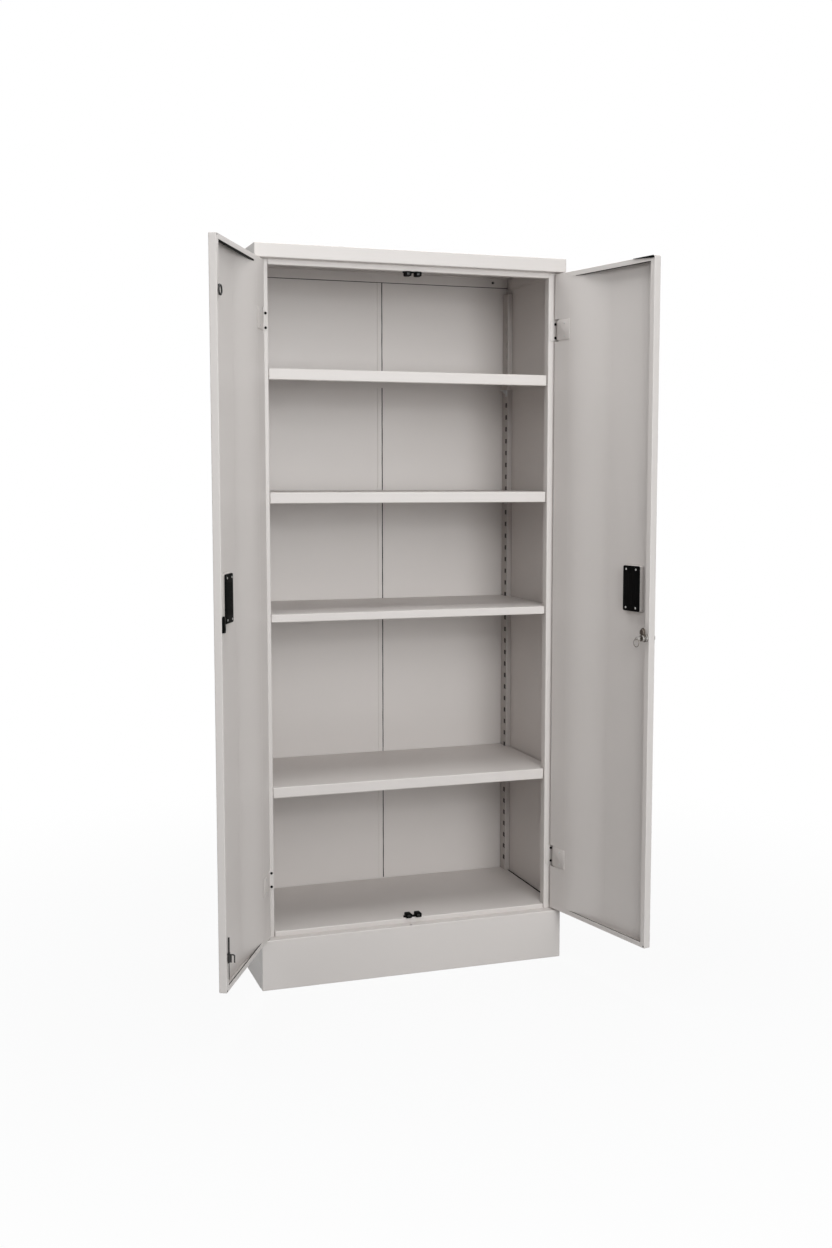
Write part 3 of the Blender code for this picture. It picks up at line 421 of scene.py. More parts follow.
class Coat(Enum):
    """The cabinet's finishes."""

    PAINT = PowderCoat("powder_coat", "paint", (0.620, 0.576, 0.551), 0.40)
    # A darker copy of the powder coat, with darkened folds: painted shade for the uprights and the pull sleeves.
    THIN = PowderCoat("shaded_powder_coat", "paint", (0.470, 0.431, 0.409), 0.46, painted_fold_light=0.55)
    # Hinge leaves have their folds darkened: painted shade outlines.
    HINGE = PowderCoat("hinge_coat", "hinge_paint", (0.610, 0.565, 0.539), 0.40, painted_fold_light=0.66)
    ZINC = Plating("zinc_plate", "zinc", (0.62, 0.62, 0.61), 0.34, 1.0)
    # Its edges are darkened: painted shade outlines.
    CHROME = Plating("bright_plate", "chrome", (0.50, 0.48, 0.455), 0.18, 1.0, spread=0.08, dark_share=0.60,
                     painted_edge_light=0.12, edge_reach=0.0012, rim=0.25)
    CAM = Plating("cam_steel_plate", "cam_steel", (0.17, 0.145, 0.125), 0.30, 1.0)
    BLACK_STEEL = Plating("blackened_steel", "black_steel", (0.035, 0.034, 0.033), 0.38, 0.6, dark_share=0.6)
    PLASTIC = MouldedPlastic("black_moulding", "black_plastic", (0.0025, 0.0025, 0.0025), 0.46)

    @property
    def material(self) -> bpy.types.Material:
        """Return the finish's material."""
        return self.value.material()

    @property
    def slot(self) -> str:
        """Return the record's slot."""
        return self.value.slot


# Mesh helpers


def rounded_rectangle(width: float, height: float, corner: float, steps: int = 6) -> list[tuple[float, float]]:
    """Return the outline of a rectangle with round corners.

    Args:
        width: Size along the first axis.
        height: Size along the second axis.
        corner: Corner radius.
        steps: Segments in each corner.

    Returns:
        The outline's points, counter-clockwise.
    """
    points = []
    for number, (sx, sy) in enumerate(((1, 1), (-1, 1), (-1, -1), (1, -1))):
        middle_x = sx * (width / 2 - corner)
        middle_y = sy * (height / 2 - corner)
        for step in range(steps + 1):
            angle = math.pi / 2 * (number + step / steps)
            points.append((middle_x + corner * math.cos(angle), middle_y + corner * math.sin(angle)))
    return points


def soften(body: bmesh.types.BMesh, width: float, steps: int = 2, over: float = 30.0) -> bmesh.types.BMesh:
    """Round the edges of a mesh.

    Args:
        body: The mesh; it is changed.
        width: Width of the rounding; zero leaves the mesh as it is.
        steps: Segments across each rounded edge.
        over: Smallest angle in degrees between the faces of an edge that is rounded.

    Returns:
        The same mesh.
    """
    if width > 0.0:
        edges = [edge for edge in body.edges
                 if len(edge.link_faces) == 2 and edge.calc_face_angle(0.0) > math.radians(over)]
        bmesh.ops.bevel(body, geom=edges, offset=width, segments=steps, profile=0.5, affect="EDGES",
                        clamp_overlap=True)
    return body


def box(low: Sequence[float], high: Sequence[float], edge: float = 0.0003) -> bmesh.types.BMesh:
    """Return a block with rounded edges between two corners."""
    body = bmesh.new()
    bmesh.ops.create_cube(body, size=1.0)
    for vert in body.verts:
        vert.co = Vector([low[i] if vert.co[i] < 0.0 else high[i] for i in range(3)])
    return soften(body, edge)


def prism(outline: Sequence[tuple[float, float]], low: float, high: float, axis: str = "Y",
          edge: float = 0.0003, steps: int = 2) -> bmesh.types.BMesh:
    """Return an outline extruded along an axis, its rim edges rounded.

    Args:
        outline: Pairs (x, z) for Y, (y, z) for X and (x, y) for Z.
        low: Start along the axis.
        high: End along the axis.
        axis: Name of the axis.
        edge: Width of the rounding.
        steps: Segments across each rounded edge.

    Returns:
        The closed mesh.
    """
    order: dict[str, Callable[[float, float, float], Point]] = {
        "X": lambda a, b, c: (c, a, b), "Y": lambda a, b, c: (a, c, b), "Z": lambda a, b, c: (a, b, c)}
    body = bmesh.new()
    near = [body.verts.new(order[axis](a, b, low)) for a, b in outline]
    far = [body.verts.new(order[axis](a, b, high)) for a, b in outline]
    body.faces.new(near)
    body.faces.new(reversed(far))
    count = len(outline)
    for i in range(count):
        j = (i + 1) % count
        body.faces.new((near[i], far[i], far[j], near[j]))
    bmesh.ops.recalc_face_normals(body, faces=body.faces)
    return soften(body, edge, steps, 20.0)


def loft(rings: Sequence[Sequence[Vector]], closed: bool = False) -> bmesh.types.BMesh:
    """Return a closed skin through rings of equal count.

    Args:
        rings: The rings, in order.
        closed: Whether the last ring joins the first; otherwise both ends are capped.

    Returns:
        The closed mesh.
    """
    body = bmesh.new()
    rows = [[body.verts.new(place) for place in ring] for ring in rings]
    count = len(rows[0])
    following = rows[1:] + rows[:1] if closed else rows[1:]
    for lower, upper in zip(rows, following):
        for i in range(count):
            j = (i + 1) % count
            body.faces.new((lower[i], lower[j], upper[j], upper[i]))
    if not closed:
        body.faces.new(reversed(rows[0]))
        body.faces.new(rows[-1])
    bmesh.ops.recalc_face_normals(body, faces=body.faces)
    return body


def turned(profile: Sequence[tuple[float, float]], steps: int = 40, hollow: bool = False) -> bmesh.types.BMesh:
    """Revolve a profile about the Y axis.

    Args:
        profile: Pairs of radius and place along Y.
        steps: Segments around the axis.
        hollow: Whether the profile is a closed loop clear of the axis.

    Returns:
        The closed mesh.
    """
    rings = []
    for radius, depth in profile:
        ring = []
        for step in range(steps):
            angle = 2 * math.pi * step / steps
            ring.append(Vector((radius * math.cos(angle), depth, radius * math.sin(angle))))
        rings.append(ring)
    return loft(rings, hollow)


def tube(path: Sequence[Vector], radius: float, sides: int = 12, closed: bool = False,
         taper: float = 0.55) -> bmesh.types.BMesh:
    """Sweep a round wire along a path.

    Args:
        path: Points of the wire's middle.
        radius: The wire's radius.
        sides: Segments around the wire.
        closed: Whether the last point joins the first.
        taper: Radius share of the end rings of an open wire.

    Returns:
        The closed mesh.
    """
    count = len(path)
    rings: list[list[Vector]] = []
    side = None
    for i, place in enumerate(path):
        before = path[i - 1] if i > 0 or closed else place
        after = path[(i + 1) % count] if i < count - 1 or closed else place
        ahead = (after - before).normalized()
        if side is None:
            side = ahead.orthogonal().normalized()
        side = (side - ahead * side.dot(ahead)).normalized()
        other = ahead.cross(side)
        angles = [2 * math.pi * step / sides for step in range(sides)]
        shape = [side * math.cos(angle) + other * math.sin(angle) for angle in angles]
        if not closed and i == 0:
            rings.append([place + way * radius * taper for way in shape])
            rings.append([place + ahead * radius * (1.0 - taper) + way * radius for way in shape])
        elif not closed and i == count - 1:
            rings.append([place - ahead * radius * (1.0 - taper) + way * radius for way in shape])
            rings.append([place + way * radius * taper for way in shape])
        else:
            rings.append([place + way * radius for way in shape])
    if not closed:
        return loft(rings)
    body = bmesh.new()
    rows = [[body.verts.new(place) for place in ring] for ring in rings]
    for lower, upper in zip(rows, rows[1:] + rows[:1]):
        for i in range(sides):
            j = (i + 1) % sides
            body.faces.new((lower[i], lower[j], upper[j], upper[i]))
    bmesh.ops.recalc_face_normals(body, faces=body.faces)
    return body


def moved(body: bmesh.types.BMesh, place: Matrix) -> bmesh.types.BMesh:
    """Transform a mesh and return it."""
    bmesh.ops.transform(body, matrix=place, verts=body.verts)
    return body


def joined(bodies: Iterable[bmesh.types.BMesh]) -> bmesh.types.BMesh:
    """Gather meshes into one; each stays its own closed shell.

    Args:
        bodies: The meshes; they are freed.

    Returns:
        The gathered mesh.
    """
    gathered = bmesh.new()
    for body in bodies:
        part = bpy.data.meshes.new("joined_part")
        body.to_mesh(part)
        body.free()
        gathered.from_mesh(part)
        bpy.data.meshes.remove(part)
    return gathered


def carved(body: bmesh.types.BMesh, cutters: Iterable[bmesh.types.BMesh]) -> bmesh.types.BMesh:
    """Cut shapes out of a mesh.

    Args:
        body: The mesh; it is freed.
        cutters: Closed meshes that are taken away; they are freed.

    Returns:
        The carved mesh.
    """
    item = bpy.data.objects.new("carve_body", bpy.data.meshes.new("carve_body"))
    tool = bpy.data.objects.new("carve_tool", bpy.data.meshes.new("carve_tool"))
    bmesh.ops.recalc_face_normals(body, faces=body.faces)
    body.to_mesh(item.data)
    body.free()
    gathered = joined(cutters)
    bmesh.ops.recalc_face_normals(gathered, faces=gathered.faces)
    gathered.to_mesh(tool.data)
    gathered.free()
    for made in (item, tool):
        bpy.context.scene.collection.objects.link(made)
    step = item.modifiers.new("carve", "BOOLEAN")
    step.operation = "DIFFERENCE"
    step.solver = "EXACT"
    step.object = tool
    view = bpy.context.evaluated_depsgraph_get()
    result = bmesh.new()
    result.from_mesh(item.evaluated_get(view).to_mesh())
    item.evaluated_get(view).to_mesh_clear()
    for made in (item, tool):
        mesh = made.data
        bpy.data.objects.remove(made, do_unlink=True)
        bpy.data.meshes.remove(mesh)
    return result


def solid(name: str, body: bmesh.types.BMesh, coat: Coat, carrier: str, place: Matrix | None = None,
          smooth: float = 40.0) -> bpy.types.Object:
    """Turn a mesh into a piece that rides on a body.

    Args:
        name: The piece's name.
        body: The closed mesh; it is freed.
        coat: The finish.
        carrier: The CAD body that carries it.
        place: Where the mesh goes.
        smooth: Angle in degrees below which edges are smoothed.

    Returns:
        The piece.
    """
    if place is not None:
        moved(body, place)
    bmesh.ops.recalc_face_normals(body, faces=body.faces)
    mesh = bpy.data.meshes.new(name)
    body.to_mesh(mesh)
    body.free()
    return enlist(name, mesh, coat, carrier, smooth)


def enlist(name: str, mesh: bpy.types.Mesh, coat: Coat, carrier: str, smooth: float) -> bpy.types.Object:
    """Make a mesh a piece of the model and report it.

    Args:
        name: The piece's name.
        mesh: Its mesh, in place.
        coat: The finish.
        carrier: The CAD body that carries it.
        smooth: Angle in degrees below which edges are smoothed.

    Returns:
        The piece.
    """
    mesh.name = name
    mesh.materials.clear()
    mesh.materials.append(coat.material)
    mesh.shade_smooth()
    mesh.set_sharp_from_angle(angle=math.radians(smooth))
    piece = bpy.data.objects.new(name, mesh)
    bpy.context.scene.collection.objects.link(piece)
    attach(piece, carrier)
    coat.slot
    log.info("%s: %d faces of %s on %s", name, len(mesh.polygons), coat.name, carrier)
    return piece


def point_cloud(name: str, points: Sequence[tuple[Vector, Vector]]) -> bpy.types.Object:
    """Return an object with one vertex for each fastener and the way it faces.

    Args:
        name: The object's name.
        points: Place and outward direction of each fastener.

    Returns:
        The object, which the fastener trees read.
    """
    mesh = bpy.data.meshes.new(name)
    mesh.from_pydata([tuple(place) for place, _ in points], [], [])
    facing = mesh.attributes.new("facing", "FLOAT_VECTOR", "POINT")
    facing.data.foreach_set("vector", [part for _, way in points for part in way])
    item = bpy.data.objects.new(name, mesh)
    bpy.context.scene.collection.objects.link(item)
    return item


# Fasteners, made by Geometry Nodes


@dataclass
class FastenerTree:
    """A geometry tree that sets one fastener on every point of a cloud."""

    name: str
    sizes: dict[str, float]
    segments: int = 16

    def build(self) -> bpy.types.NodeTree:
        """Return the tree, made once, with a named input for each size."""
        found = bpy.data.node_groups.get(self.name)
        if found is not None:
            return found
        tree = bpy.data.node_groups.new(self.name, "GeometryNodeTree")
        tree.interface.new_socket("Geometry", in_out="INPUT", socket_type="NodeSocketGeometry")
        for label, value in self.sizes.items():
            socket = tree.interface.new_socket(label, in_out="INPUT", socket_type="NodeSocketFloat")
            socket.default_value = value
        tree.interface.new_socket("Material", in_out="INPUT", socket_type="NodeSocketMaterial")
        tree.interface.new_socket("Geometry", in_out="OUTPUT", socket_type="NodeSocketGeometry")
        graph = Graph(tree)
        source = graph.add("NodeGroupInput")
        head = self.head(graph, source)
        facing = graph.add("GeometryNodeInputNamedAttribute", {"data_type": "FLOAT_VECTOR"}, Name="facing")
        turn = graph.add("FunctionNodeAlignRotationToVector", {"axis": "Z"}, Vector=facing.outputs["Attribute"])
        spread = graph.add("GeometryNodeInstanceOnPoints", None, Points=source.outputs["Geometry"], Instance=head,
                           Rotation=turn.outputs["Rotation"])
        real = graph.add("GeometryNodeRealizeInstances", None, Geometry=spread.outputs["Instances"])
        dressed = graph.add("GeometryNodeSetMaterial", None, Geometry=real.outputs["Geometry"],
                            Material=source.outputs["Material"])
        graph.add("NodeGroupOutput", None, Geometry=dressed.outputs["Geometry"])
        return tree

    def head(self, graph: Graph, source: bpy.types.Node) -> bpy.types.NodeSocket:
        """Return the fastener's own mesh; each kind has its own."""
        raise NotImplementedError

    def disc(self, graph: Graph, radius: bpy.types.NodeSocket, thickness: bpy.types.NodeSocket,
             rings: int = 4) -> bpy.types.Node:
        """Add a closed disc that stands on the surface.

        Args:
            graph: The tree's graph.
            radius: Radius socket.
            thickness: Thickness socket.
            rings: Rings across the caps.

        Returns:
            The cylinder node.
        """
        return graph.add("GeometryNodeMeshCylinder", {"fill_type": "NGON"}, Vertices=self.segments,
                         Side_Segments=1, Fill_Segments=rings, Radius=radius, Depth=thickness)

    def crowned(self, graph: Graph, mesh: bpy.types.NodeSocket, radius: bpy.types.NodeSocket,
                thickness: bpy.types.NodeSocket, crown: bpy.types.NodeSocket, power: float) -> bpy.types.NodeSocket:
        """Lift a disc's upper face into a crown, or sink it with a negative height.

        Args:
            graph: The tree's graph.
            mesh: The disc's mesh.
            radius: The disc's radius.
            thickness: The disc's thickness.
            crown: Height of the crown over the rim.
            power: Power of the distance from the middle.

        Returns:
            The shaped mesh's socket.
        """
        place = graph.add("GeometryNodeInputPosition").outputs[0]
        parts = graph.add("ShaderNodeSeparateXYZ", None, Vector=place)
        flat = graph.calc("SQRT", graph.calc(
            "ADD", graph.calc("MULTIPLY", parts.outputs["X"], parts.outputs["X"]),
            graph.calc("MULTIPLY", parts.outputs["Y"], parts.outputs["Y"])))
        share = graph.calc("POWER", graph.calc("DIVIDE", flat, radius), power)
        lift = graph.calc("MULTIPLY", crown, graph.calc("SUBTRACT", 1.0, share))
        upper = graph.calc("GREATER_THAN", parts.outputs["Z"], 0.0)
        height = graph.calc("MULTIPLY_ADD", lift, upper, graph.calc("MULTIPLY", thickness, 0.5))
        offset = graph.add("ShaderNodeCombineXYZ", None, Z=height).outputs[0]
        return graph.add("GeometryNodeSetPosition", None, Geometry=mesh, Offset=offset).outputs["Geometry"]

    def apply(self, name: str, points: Sequence[tuple[Vector, Vector]], coat: Coat, carrier: str,
              **sizes: float) -> bpy.types.Object:
        """Set fasteners on points and keep the result as a plain mesh.

        Args:
            name: The piece's name.
            points: Place and outward direction of each fastener.
            coat: The finish.
            carrier: The CAD body that carries them.
            sizes: Values for the tree's named inputs.

        Returns:
            The piece.
        """
        cloud = point_cloud(f"{name}_points", points)
        step = cloud.modifiers.new("fasteners", "NODES")
        step.node_group = self.build()
        for item in step.node_group.interface.items_tree:
            if item.in_out == "INPUT" and item.name == "Material":
                step[item.identifier] = coat.material
            elif item.in_out == "INPUT" and item.name in sizes:
                step[item.identifier] = sizes[item.name]
        view = bpy.context.evaluated_depsgraph_get()
        mesh = bpy.data.meshes.new_from_object(cloud.evaluated_get(view))
        cloud.modifiers.remove(step)
        bpy.data.objects.remove(cloud, do_unlink=True)
        return enlist(name, mesh, coat, carrier, 35.0)


@dataclass
class DomeRivets(FastenerTree):
    """Dome-headed rivets with a thin flange."""

    name: str = "dome_rivets"
    sizes: dict[str, float] = field(default_factory=lambda: {"Radius": 0.0030, "Flange": 0.0005, "Crown": 0.0011})

    def head(self, graph: Graph, source: bpy.types.Node) -> bpy.types.NodeSocket:
        """Return a low dome on a flange."""
        radius, flange, crown = (source.outputs[label] for label in ("Radius", "Flange", "Crown"))
        disc = self.disc(graph, radius, flange)
        return self.crowned(graph, disc.outputs["Mesh"], radius, flange, crown, 2.4)


@dataclass
class BlindRivets(FastenerTree):
    """Blind rivets: a dome with the broken mandrel's dimple in its middle."""

    name: str = "blind_rivets"
    sizes: dict[str, float] = field(default_factory=lambda: {
        "Radius": 0.0034, "Flange": 0.0004, "Crown": 0.0010, "Bore": 0.0011})

    def head(self, graph: Graph, source: bpy.types.Node) -> bpy.types.NodeSocket:
        """Return a dome with a round hole cut into it."""
        radius, flange, crown, bore = (source.outputs[label] for label in ("Radius", "Flange", "Crown", "Bore"))
        disc = self.disc(graph, radius, flange)
        dome = self.crowned(graph, disc.outputs["Mesh"], radius, flange, crown, 2.2)
        pin = graph.add("GeometryNodeMeshCylinder", None, Vertices=12, Radius=bore, Depth=0.0020)
        lifted = graph.add("GeometryNodeTransform", None, Geometry=pin.outputs["Mesh"],
                           Translation=(0.0, 0.0, 0.0018))
        return graph.add("GeometryNodeMeshBoolean", {"operation": "DIFFERENCE", "solver": "EXACT"}, Mesh_1=dome,
                         Mesh_2=lifted.outputs["Geometry"]).outputs["Mesh"]


@dataclass
class CrossScrews(FastenerTree):
    """Pan-head screws with a cross recess."""

    name: str = "cross_screws"
    sizes: dict[str, float] = field(default_factory=lambda: {
        "Radius": 0.0040, "Rim": 0.0009, "Crown": 0.0014, "Recess": 0.0021, "Recess Width": 0.0011})

    def head(self, graph: Graph, source: bpy.types.Node) -> bpy.types.NodeSocket:
        """Return a rounded head with two crossed slots cut into it."""
        radius, rim, crown, recess, width = (
            source.outputs[label] for label in ("Radius", "Rim", "Crown", "Recess", "Recess Width"))
        disc = self.disc(graph, radius, rim)
        dome = self.crowned(graph, disc.outputs["Mesh"], radius, rim, crown, 3.0)
        length = graph.calc("MULTIPLY", recess, 2.0)
        arms = []
        for turn in (0.0, math.pi / 2):
            size = graph.add("ShaderNodeCombineXYZ", None, X=length, Y=width, Z=0.0030).outputs[0]
            bar = graph.add("GeometryNodeMeshCube", None, Size=size).outputs["Mesh"]
            arms.append(graph.add("GeometryNodeTransform", None, Geometry=bar, Translation=(0.0, 0.0, 0.0026),
                                  Rotation=(0.0, 0.0, turn)).outputs["Geometry"])
        cross = graph.add("GeometryNodeMeshBoolean", {"operation": "UNION", "solver": "EXACT"})
        for arm in arms:
            graph.tree.links.new(arm, cross.inputs["Mesh 2"])
        return graph.add("GeometryNodeMeshBoolean", {"operation": "DIFFERENCE", "solver": "EXACT"}, Mesh_1=dome,
                         Mesh_2=cross.outputs["Mesh"]).outputs["Mesh"]


@dataclass
class SpotWelds(FastenerTree):
    """Painted-over spot welds: low rings with a sunk middle."""

    name: str = "spot_welds"
    sizes: dict[str, float] = field(default_factory=lambda: {"Radius": 0.0030, "Rim": 0.00022, "Sink": -0.00018})

    def head(self, graph: Graph, source: bpy.types.Node) -> bpy.types.NodeSocket:
        """Return a thin disc whose middle is sunk."""
        radius, rim, sink = (source.outputs[label] for label in ("Radius", "Rim", "Sink"))
        disc = self.disc(graph, radius, rim)
        return self.crowned(graph, disc.outputs["Mesh"], radius, rim, sink, 2.0)


@dataclass
class SplitRing(FastenerTree):
    """A split ring: round wire wound twice, so that its ends lie beside each other."""

    name: str = "split_ring"
    sizes: dict[str, float] = field(default_factory=lambda: {"Radius": 0.0095, "Wire": 0.0005, "Rise": 0.0009})

    def head(self, graph: Graph, source: bpy.types.Node) -> bpy.types.NodeSocket:
        """Return the wound wire."""
        radius, wire, rise = (source.outputs[label] for label in ("Radius", "Wire", "Rise"))
        coil = graph.add("GeometryNodeCurveSpiral", None, Resolution=64, Rotations=1.96, Start_Radius=radius,
                         End_Radius=radius, Height=rise)
        section = graph.add("GeometryNodeCurvePrimitiveCircle", None, Resolution=10, Radius=wire)
        swept = graph.add("GeometryNodeCurveToMesh", None, Curve=coil.outputs["Curve"],
                          Profile_Curve=section.outputs["Curve"], Fill_Caps=True)
        middle = graph.add("ShaderNodeCombineXYZ", None, Z=graph.calc("MULTIPLY", rise, -0.5)).outputs[0]
        return graph.add("GeometryNodeTransform", None, Geometry=swept.outputs["Mesh"],
                         Translation=middle).outputs["Geometry"]


@dataclass
class SlotShadeBars(FastenerTree):
    """The two dark bars that edge a punched slot, one on each side of it: painted shade that makes the slot read dark.
    """

    name: str = "slot_shade_bars"
    sizes: dict[str, float] = field(default_factory=lambda: {"Tall": 0.0125, "Wide": 0.0024, "Rise": 0.0012,
                                                             "Apart": 0.0078})

    def head(self, graph: Graph, source: bpy.types.Node) -> bpy.types.NodeSocket:
        """Return the two bars."""
        tall, wide, rise, apart = (source.outputs[label] for label in ("Tall", "Wide", "Rise", "Apart"))
        size = graph.add("ShaderNodeCombineXYZ", None, X=tall, Y=wide, Z=rise).outputs[0]
        bar = graph.add("GeometryNodeMeshCube", None, Size=size).outputs["Mesh"]
        pair = graph.add("GeometryNodeJoinGeometry")
        for share in (-0.5, 0.5):
            place = graph.add("ShaderNodeCombineXYZ", None, Y=graph.calc("MULTIPLY", apart, share)).outputs[0]
            moved_bar = graph.add("GeometryNodeTransform", None, Geometry=bar, Translation=place)
            graph.tree.links.new(moved_bar.outputs["Geometry"], pair.inputs["Geometry"])
        return pair.outputs["Geometry"]


# The cabinet's sub-assemblies


class Probe:
    """Finds points on the CAD nodes by casting rays, so that fasteners sit on real faces."""

    def __init__(self, nodes: dict[str, bpy.types.Object]) -> None:
        """Keep the nodes.

        Args:
            nodes: The CAD nodes by name.
        """
        self.nodes = nodes
        self.trees: dict[str, BVHTree] = {}

    def hit(self, node: str, start: Sequence[float], way: Sequence[float]) -> tuple[Vector, Vector] | None:
        """Cast a ray at one node.

        Args:
            node: The node's name.
            start: Where the ray starts.
            way: Its direction.

        Returns:
            The nearest point and the face's outward direction, or None.
        """
        if node not in self.trees:
            item = self.nodes[node]
            vertices = [item.matrix_world @ vert.co for vert in item.data.vertices]
            polygons = [tuple(face.vertices) for face in item.data.polygons]
            self.trees[node] = BVHTree.FromPolygons(vertices, polygons)
        place, normal, _, _ = self.trees[node].ray_cast(Vector(start), Vector(way).normalized())
        if place is None:
            log.warning("no face of %s on the ray from %s", node, tuple(start))
            return None
        if normal.dot(Vector(way)) > 0.0:
            normal = -normal
        return place, normal

    def spots(self, node: str, starts: Iterable[Sequence[float]], way: Sequence[float]) -> list[tuple[Vector, Vector]]:
        """Cast parallel rays and keep those that hit.

        Args:
            node: The node's name.
            starts: Where the rays start.
            way: Their direction.

        Returns:
            Places and outward directions.
        """
        found = [self.hit(node, start, way) for start in starts]
        return [spot for spot in found if spot is not None]


@dataclass
class Case:
    """The case: its sheets, shelves and uprights, what fastens them, and dark strips and bars painted as shade along
    its joints and slots.
    """

    half_width: float = 0.400
    height: float = 1.816
    rail_screw_places: tuple[float, ...] = (-0.355, 0.0, 0.355)
    rail_screw_level: float = 1.802
    rail_edge: float = 1.7892
    rail_edge_height: float = 0.0014
    roof_joint: float = 1.782
    seam_place: float = 0.0325
    seam_width: float = 0.0024
    seam_rise: float = 0.0007
    seam_levels: tuple[float, float] = (0.142, 1.789)
    back_rivet_pitch: float = 0.162
    back_rivet_inset: float = 0.010
    post_screw_level: float = 0.134
    post_screw_place: float = 0.385
    floor_level: float = 0.140
    slot_first: float = 0.177
    slot_pitch: float = 0.033
    slot_count: int = 40
    slot_setback: float = 0.008

    def build(self, probe: Probe) -> None:
        """Add everything that fastens the case, the painted beads of the roof joint, and the dark strips and bars
        painted as shade.

        Args:
            probe: Finder of points on the CAD nodes.
        """
        self.rail_screws(probe)
        self.rail_shadow_line(probe)
        self.roof_beads(probe)
        self.floor_shadow_lines(probe)
        self.slot_shadow_strips(probe)
        self.post_screws(probe)
        self.seam(probe)
        self.back_rivets(probe)
        self.weld_spots(probe)

    def rail_screws(self, probe: Probe) -> None:
        """Add the screws that hold the back sheets to the rail."""
        starts = [(x, 0.20, self.rail_screw_level) for x in self.rail_screw_places]
        points = probe.spots("back_panel_left", starts[:1], (0.0, 1.0, 0.0))
        points += probe.spots("back_panel_right", starts[1:], (0.0, 1.0, 0.0))
        lift = Vector((0.0, -0.0013, 0.0))
        CrossScrews().apply("rail_screws", [(place + lift, way) for place, way in points], Coat.BLACK_STEEL, "case")

    def rail_shadow_line(self, probe: Probe) -> None:
        """Add the dark strip under the rail's lower edge: a painted shadow line."""
        front, _ = probe.hit("back_top_rail", (0.20, 0.20, self.rail_edge + 0.003), (0.0, 1.0, 0.0))
        back, _ = probe.hit("back_panel_left", (-0.20, 0.20, self.rail_edge - 0.006), (0.0, 1.0, 0.0))
        low = self.rail_edge - self.rail_edge_height
        inner = self.half_width - 0.0015
        bead = box((-inner, front.y + 0.0001, low), (inner, back.y + 0.0001, self.rail_edge + 0.0001), 0.0002)
        solid("rail_edge_shadow_strip", bead, Coat.PLASTIC, "case")

    def roof_beads(self, probe: Probe) -> None:
        """Add the painted beads that close the joint between the roof tray and the walls."""
        beads = []
        for side, node in ((-1, "side_panel_left"), (1, "side_panel_right")):
            wall, _ = probe.hit(node, (side * 0.30, 0.20, self.roof_joint - 0.010), (side, 0.0, 0.0))
            xs = sorted((wall.x + side * 0.0002, wall.x - side * 0.0016))
            beads.append(box((xs[0], 0.016, self.roof_joint - 0.0026), (xs[1], 0.386, self.roof_joint + 0.0030), 0.0005))
        solid("roof_joint_beads", joined(beads), Coat.PAINT, "case")

    def floor_shadow_lines(self, probe: Probe) -> None:
        """Add the dark strips between the floor pan and the walls: painted shade in the corners."""
        beads = []
        for side, node in ((-1, "side_panel_left"), (1, "side_panel_right")):
            wall, _ = probe.hit(node, (side * 0.30, 0.20, self.floor_level + 0.010), (side, 0.0, 0.0))
            xs = sorted((wall.x - side * 0.0002, wall.x - side * 0.0052))
            beads.append(box((xs[0], 0.075, self.floor_level - 0.0022), (xs[1], 0.350, self.floor_level - 0.0006),
                             0.0003))
        solid("floor_joint_shadow_lines", joined(beads), Coat.PLASTIC, "case")

    def slot_shadow_strips(self, probe: Probe) -> None:
        """Add dark strips inside the uprights behind their slots, and dark bars beside each slot: painted shade that
        makes the slots read dark.
        """
        strips = []
        rims = []
        for place, edge, way in (("front", max, -1), ("rear", min, 1)):
            for side, label in ((-1, "left"), (1, "right")):
                node = probe.nodes[f"upright_{place}_{label}"]
                depth = edge((node.matrix_world @ point.co).y for point in node.data.vertices)
                depth += way * self.slot_setback
                web, _ = probe.hit(node.name, (0.0, depth, self.slot_first - 0.5 * self.slot_pitch), (side, 0.0, 0.0))
                xs = sorted((web.x + side * 0.0080, web.x + side * 0.0095))
                strips.append(box((xs[0], depth - 0.006, 0.150), (xs[1], depth + 0.006, 1.730), 0.0004))
                rims += [(Vector((web.x, depth, self.slot_first + number * self.slot_pitch)), Vector((-side, 0.0, 0.0)))
                         for number in range(self.slot_count)]
        solid("upright_slot_shadow_strips", joined(strips), Coat.PLASTIC, "case")
        SlotShadeBars().apply("upright_slot_shade_bars", rims, Coat.PLASTIC, "case")

    def post_screws(self, probe: Probe) -> None:
        """Add the screw at the foot of each post."""
        points = []
        for side, node in ((-1, "side_panel_left"), (1, "side_panel_right")):
            start = (side * self.post_screw_place, -0.20, self.post_screw_level)
            points += probe.spots(node, [start], (0.0, 1.0, 0.0))
        CrossScrews().apply("post_screws", points, Coat.BLACK_STEEL, "case", Radius=0.0028, Crown=0.0009,
                            Recess=0.0015)

    def seam(self, probe: Probe) -> None:
        """Add the dark strip in the step where one back sheet laps the other: a painted shadow line along the seam."""
        low, high = self.seam_levels
        found = probe.hit("back_panel_left", (self.seam_place - 0.004, 0.20, 1.0), (0.0, 1.0, 0.0))
        other = probe.hit("back_panel_right", (self.seam_place + 0.004, 0.20, 1.0), (0.0, 1.0, 0.0))
        face = min(place.y for place, _ in (found, other))
        deep = max(place.y for place, _ in (found, other))
        steps = 220
        rings = []
        for step in range(steps + 1):
            level = low + (high - low) * step / steps
            sway = 0.00012 * math.sin(level * 61.0) + 0.00008 * math.sin(level * 173.0)
            half = self.seam_width / 2 + 0.00010 * math.sin(level * 97.0)
            middle = self.seam_place + sway
            front = face - self.seam_rise
            rings.append([Vector((middle - half, deep - 0.0002, level)), Vector((middle - half, face - 0.0001, level)),
                          Vector((middle - half / 2, front, level)), Vector((middle + half / 2, front, level)),
                          Vector((middle + half, face - 0.0001, level)), Vector((middle + half, deep - 0.0002, level))])
        solid("back_seam_shadow_strip", loft(rings), Coat.PLASTIC, "case")

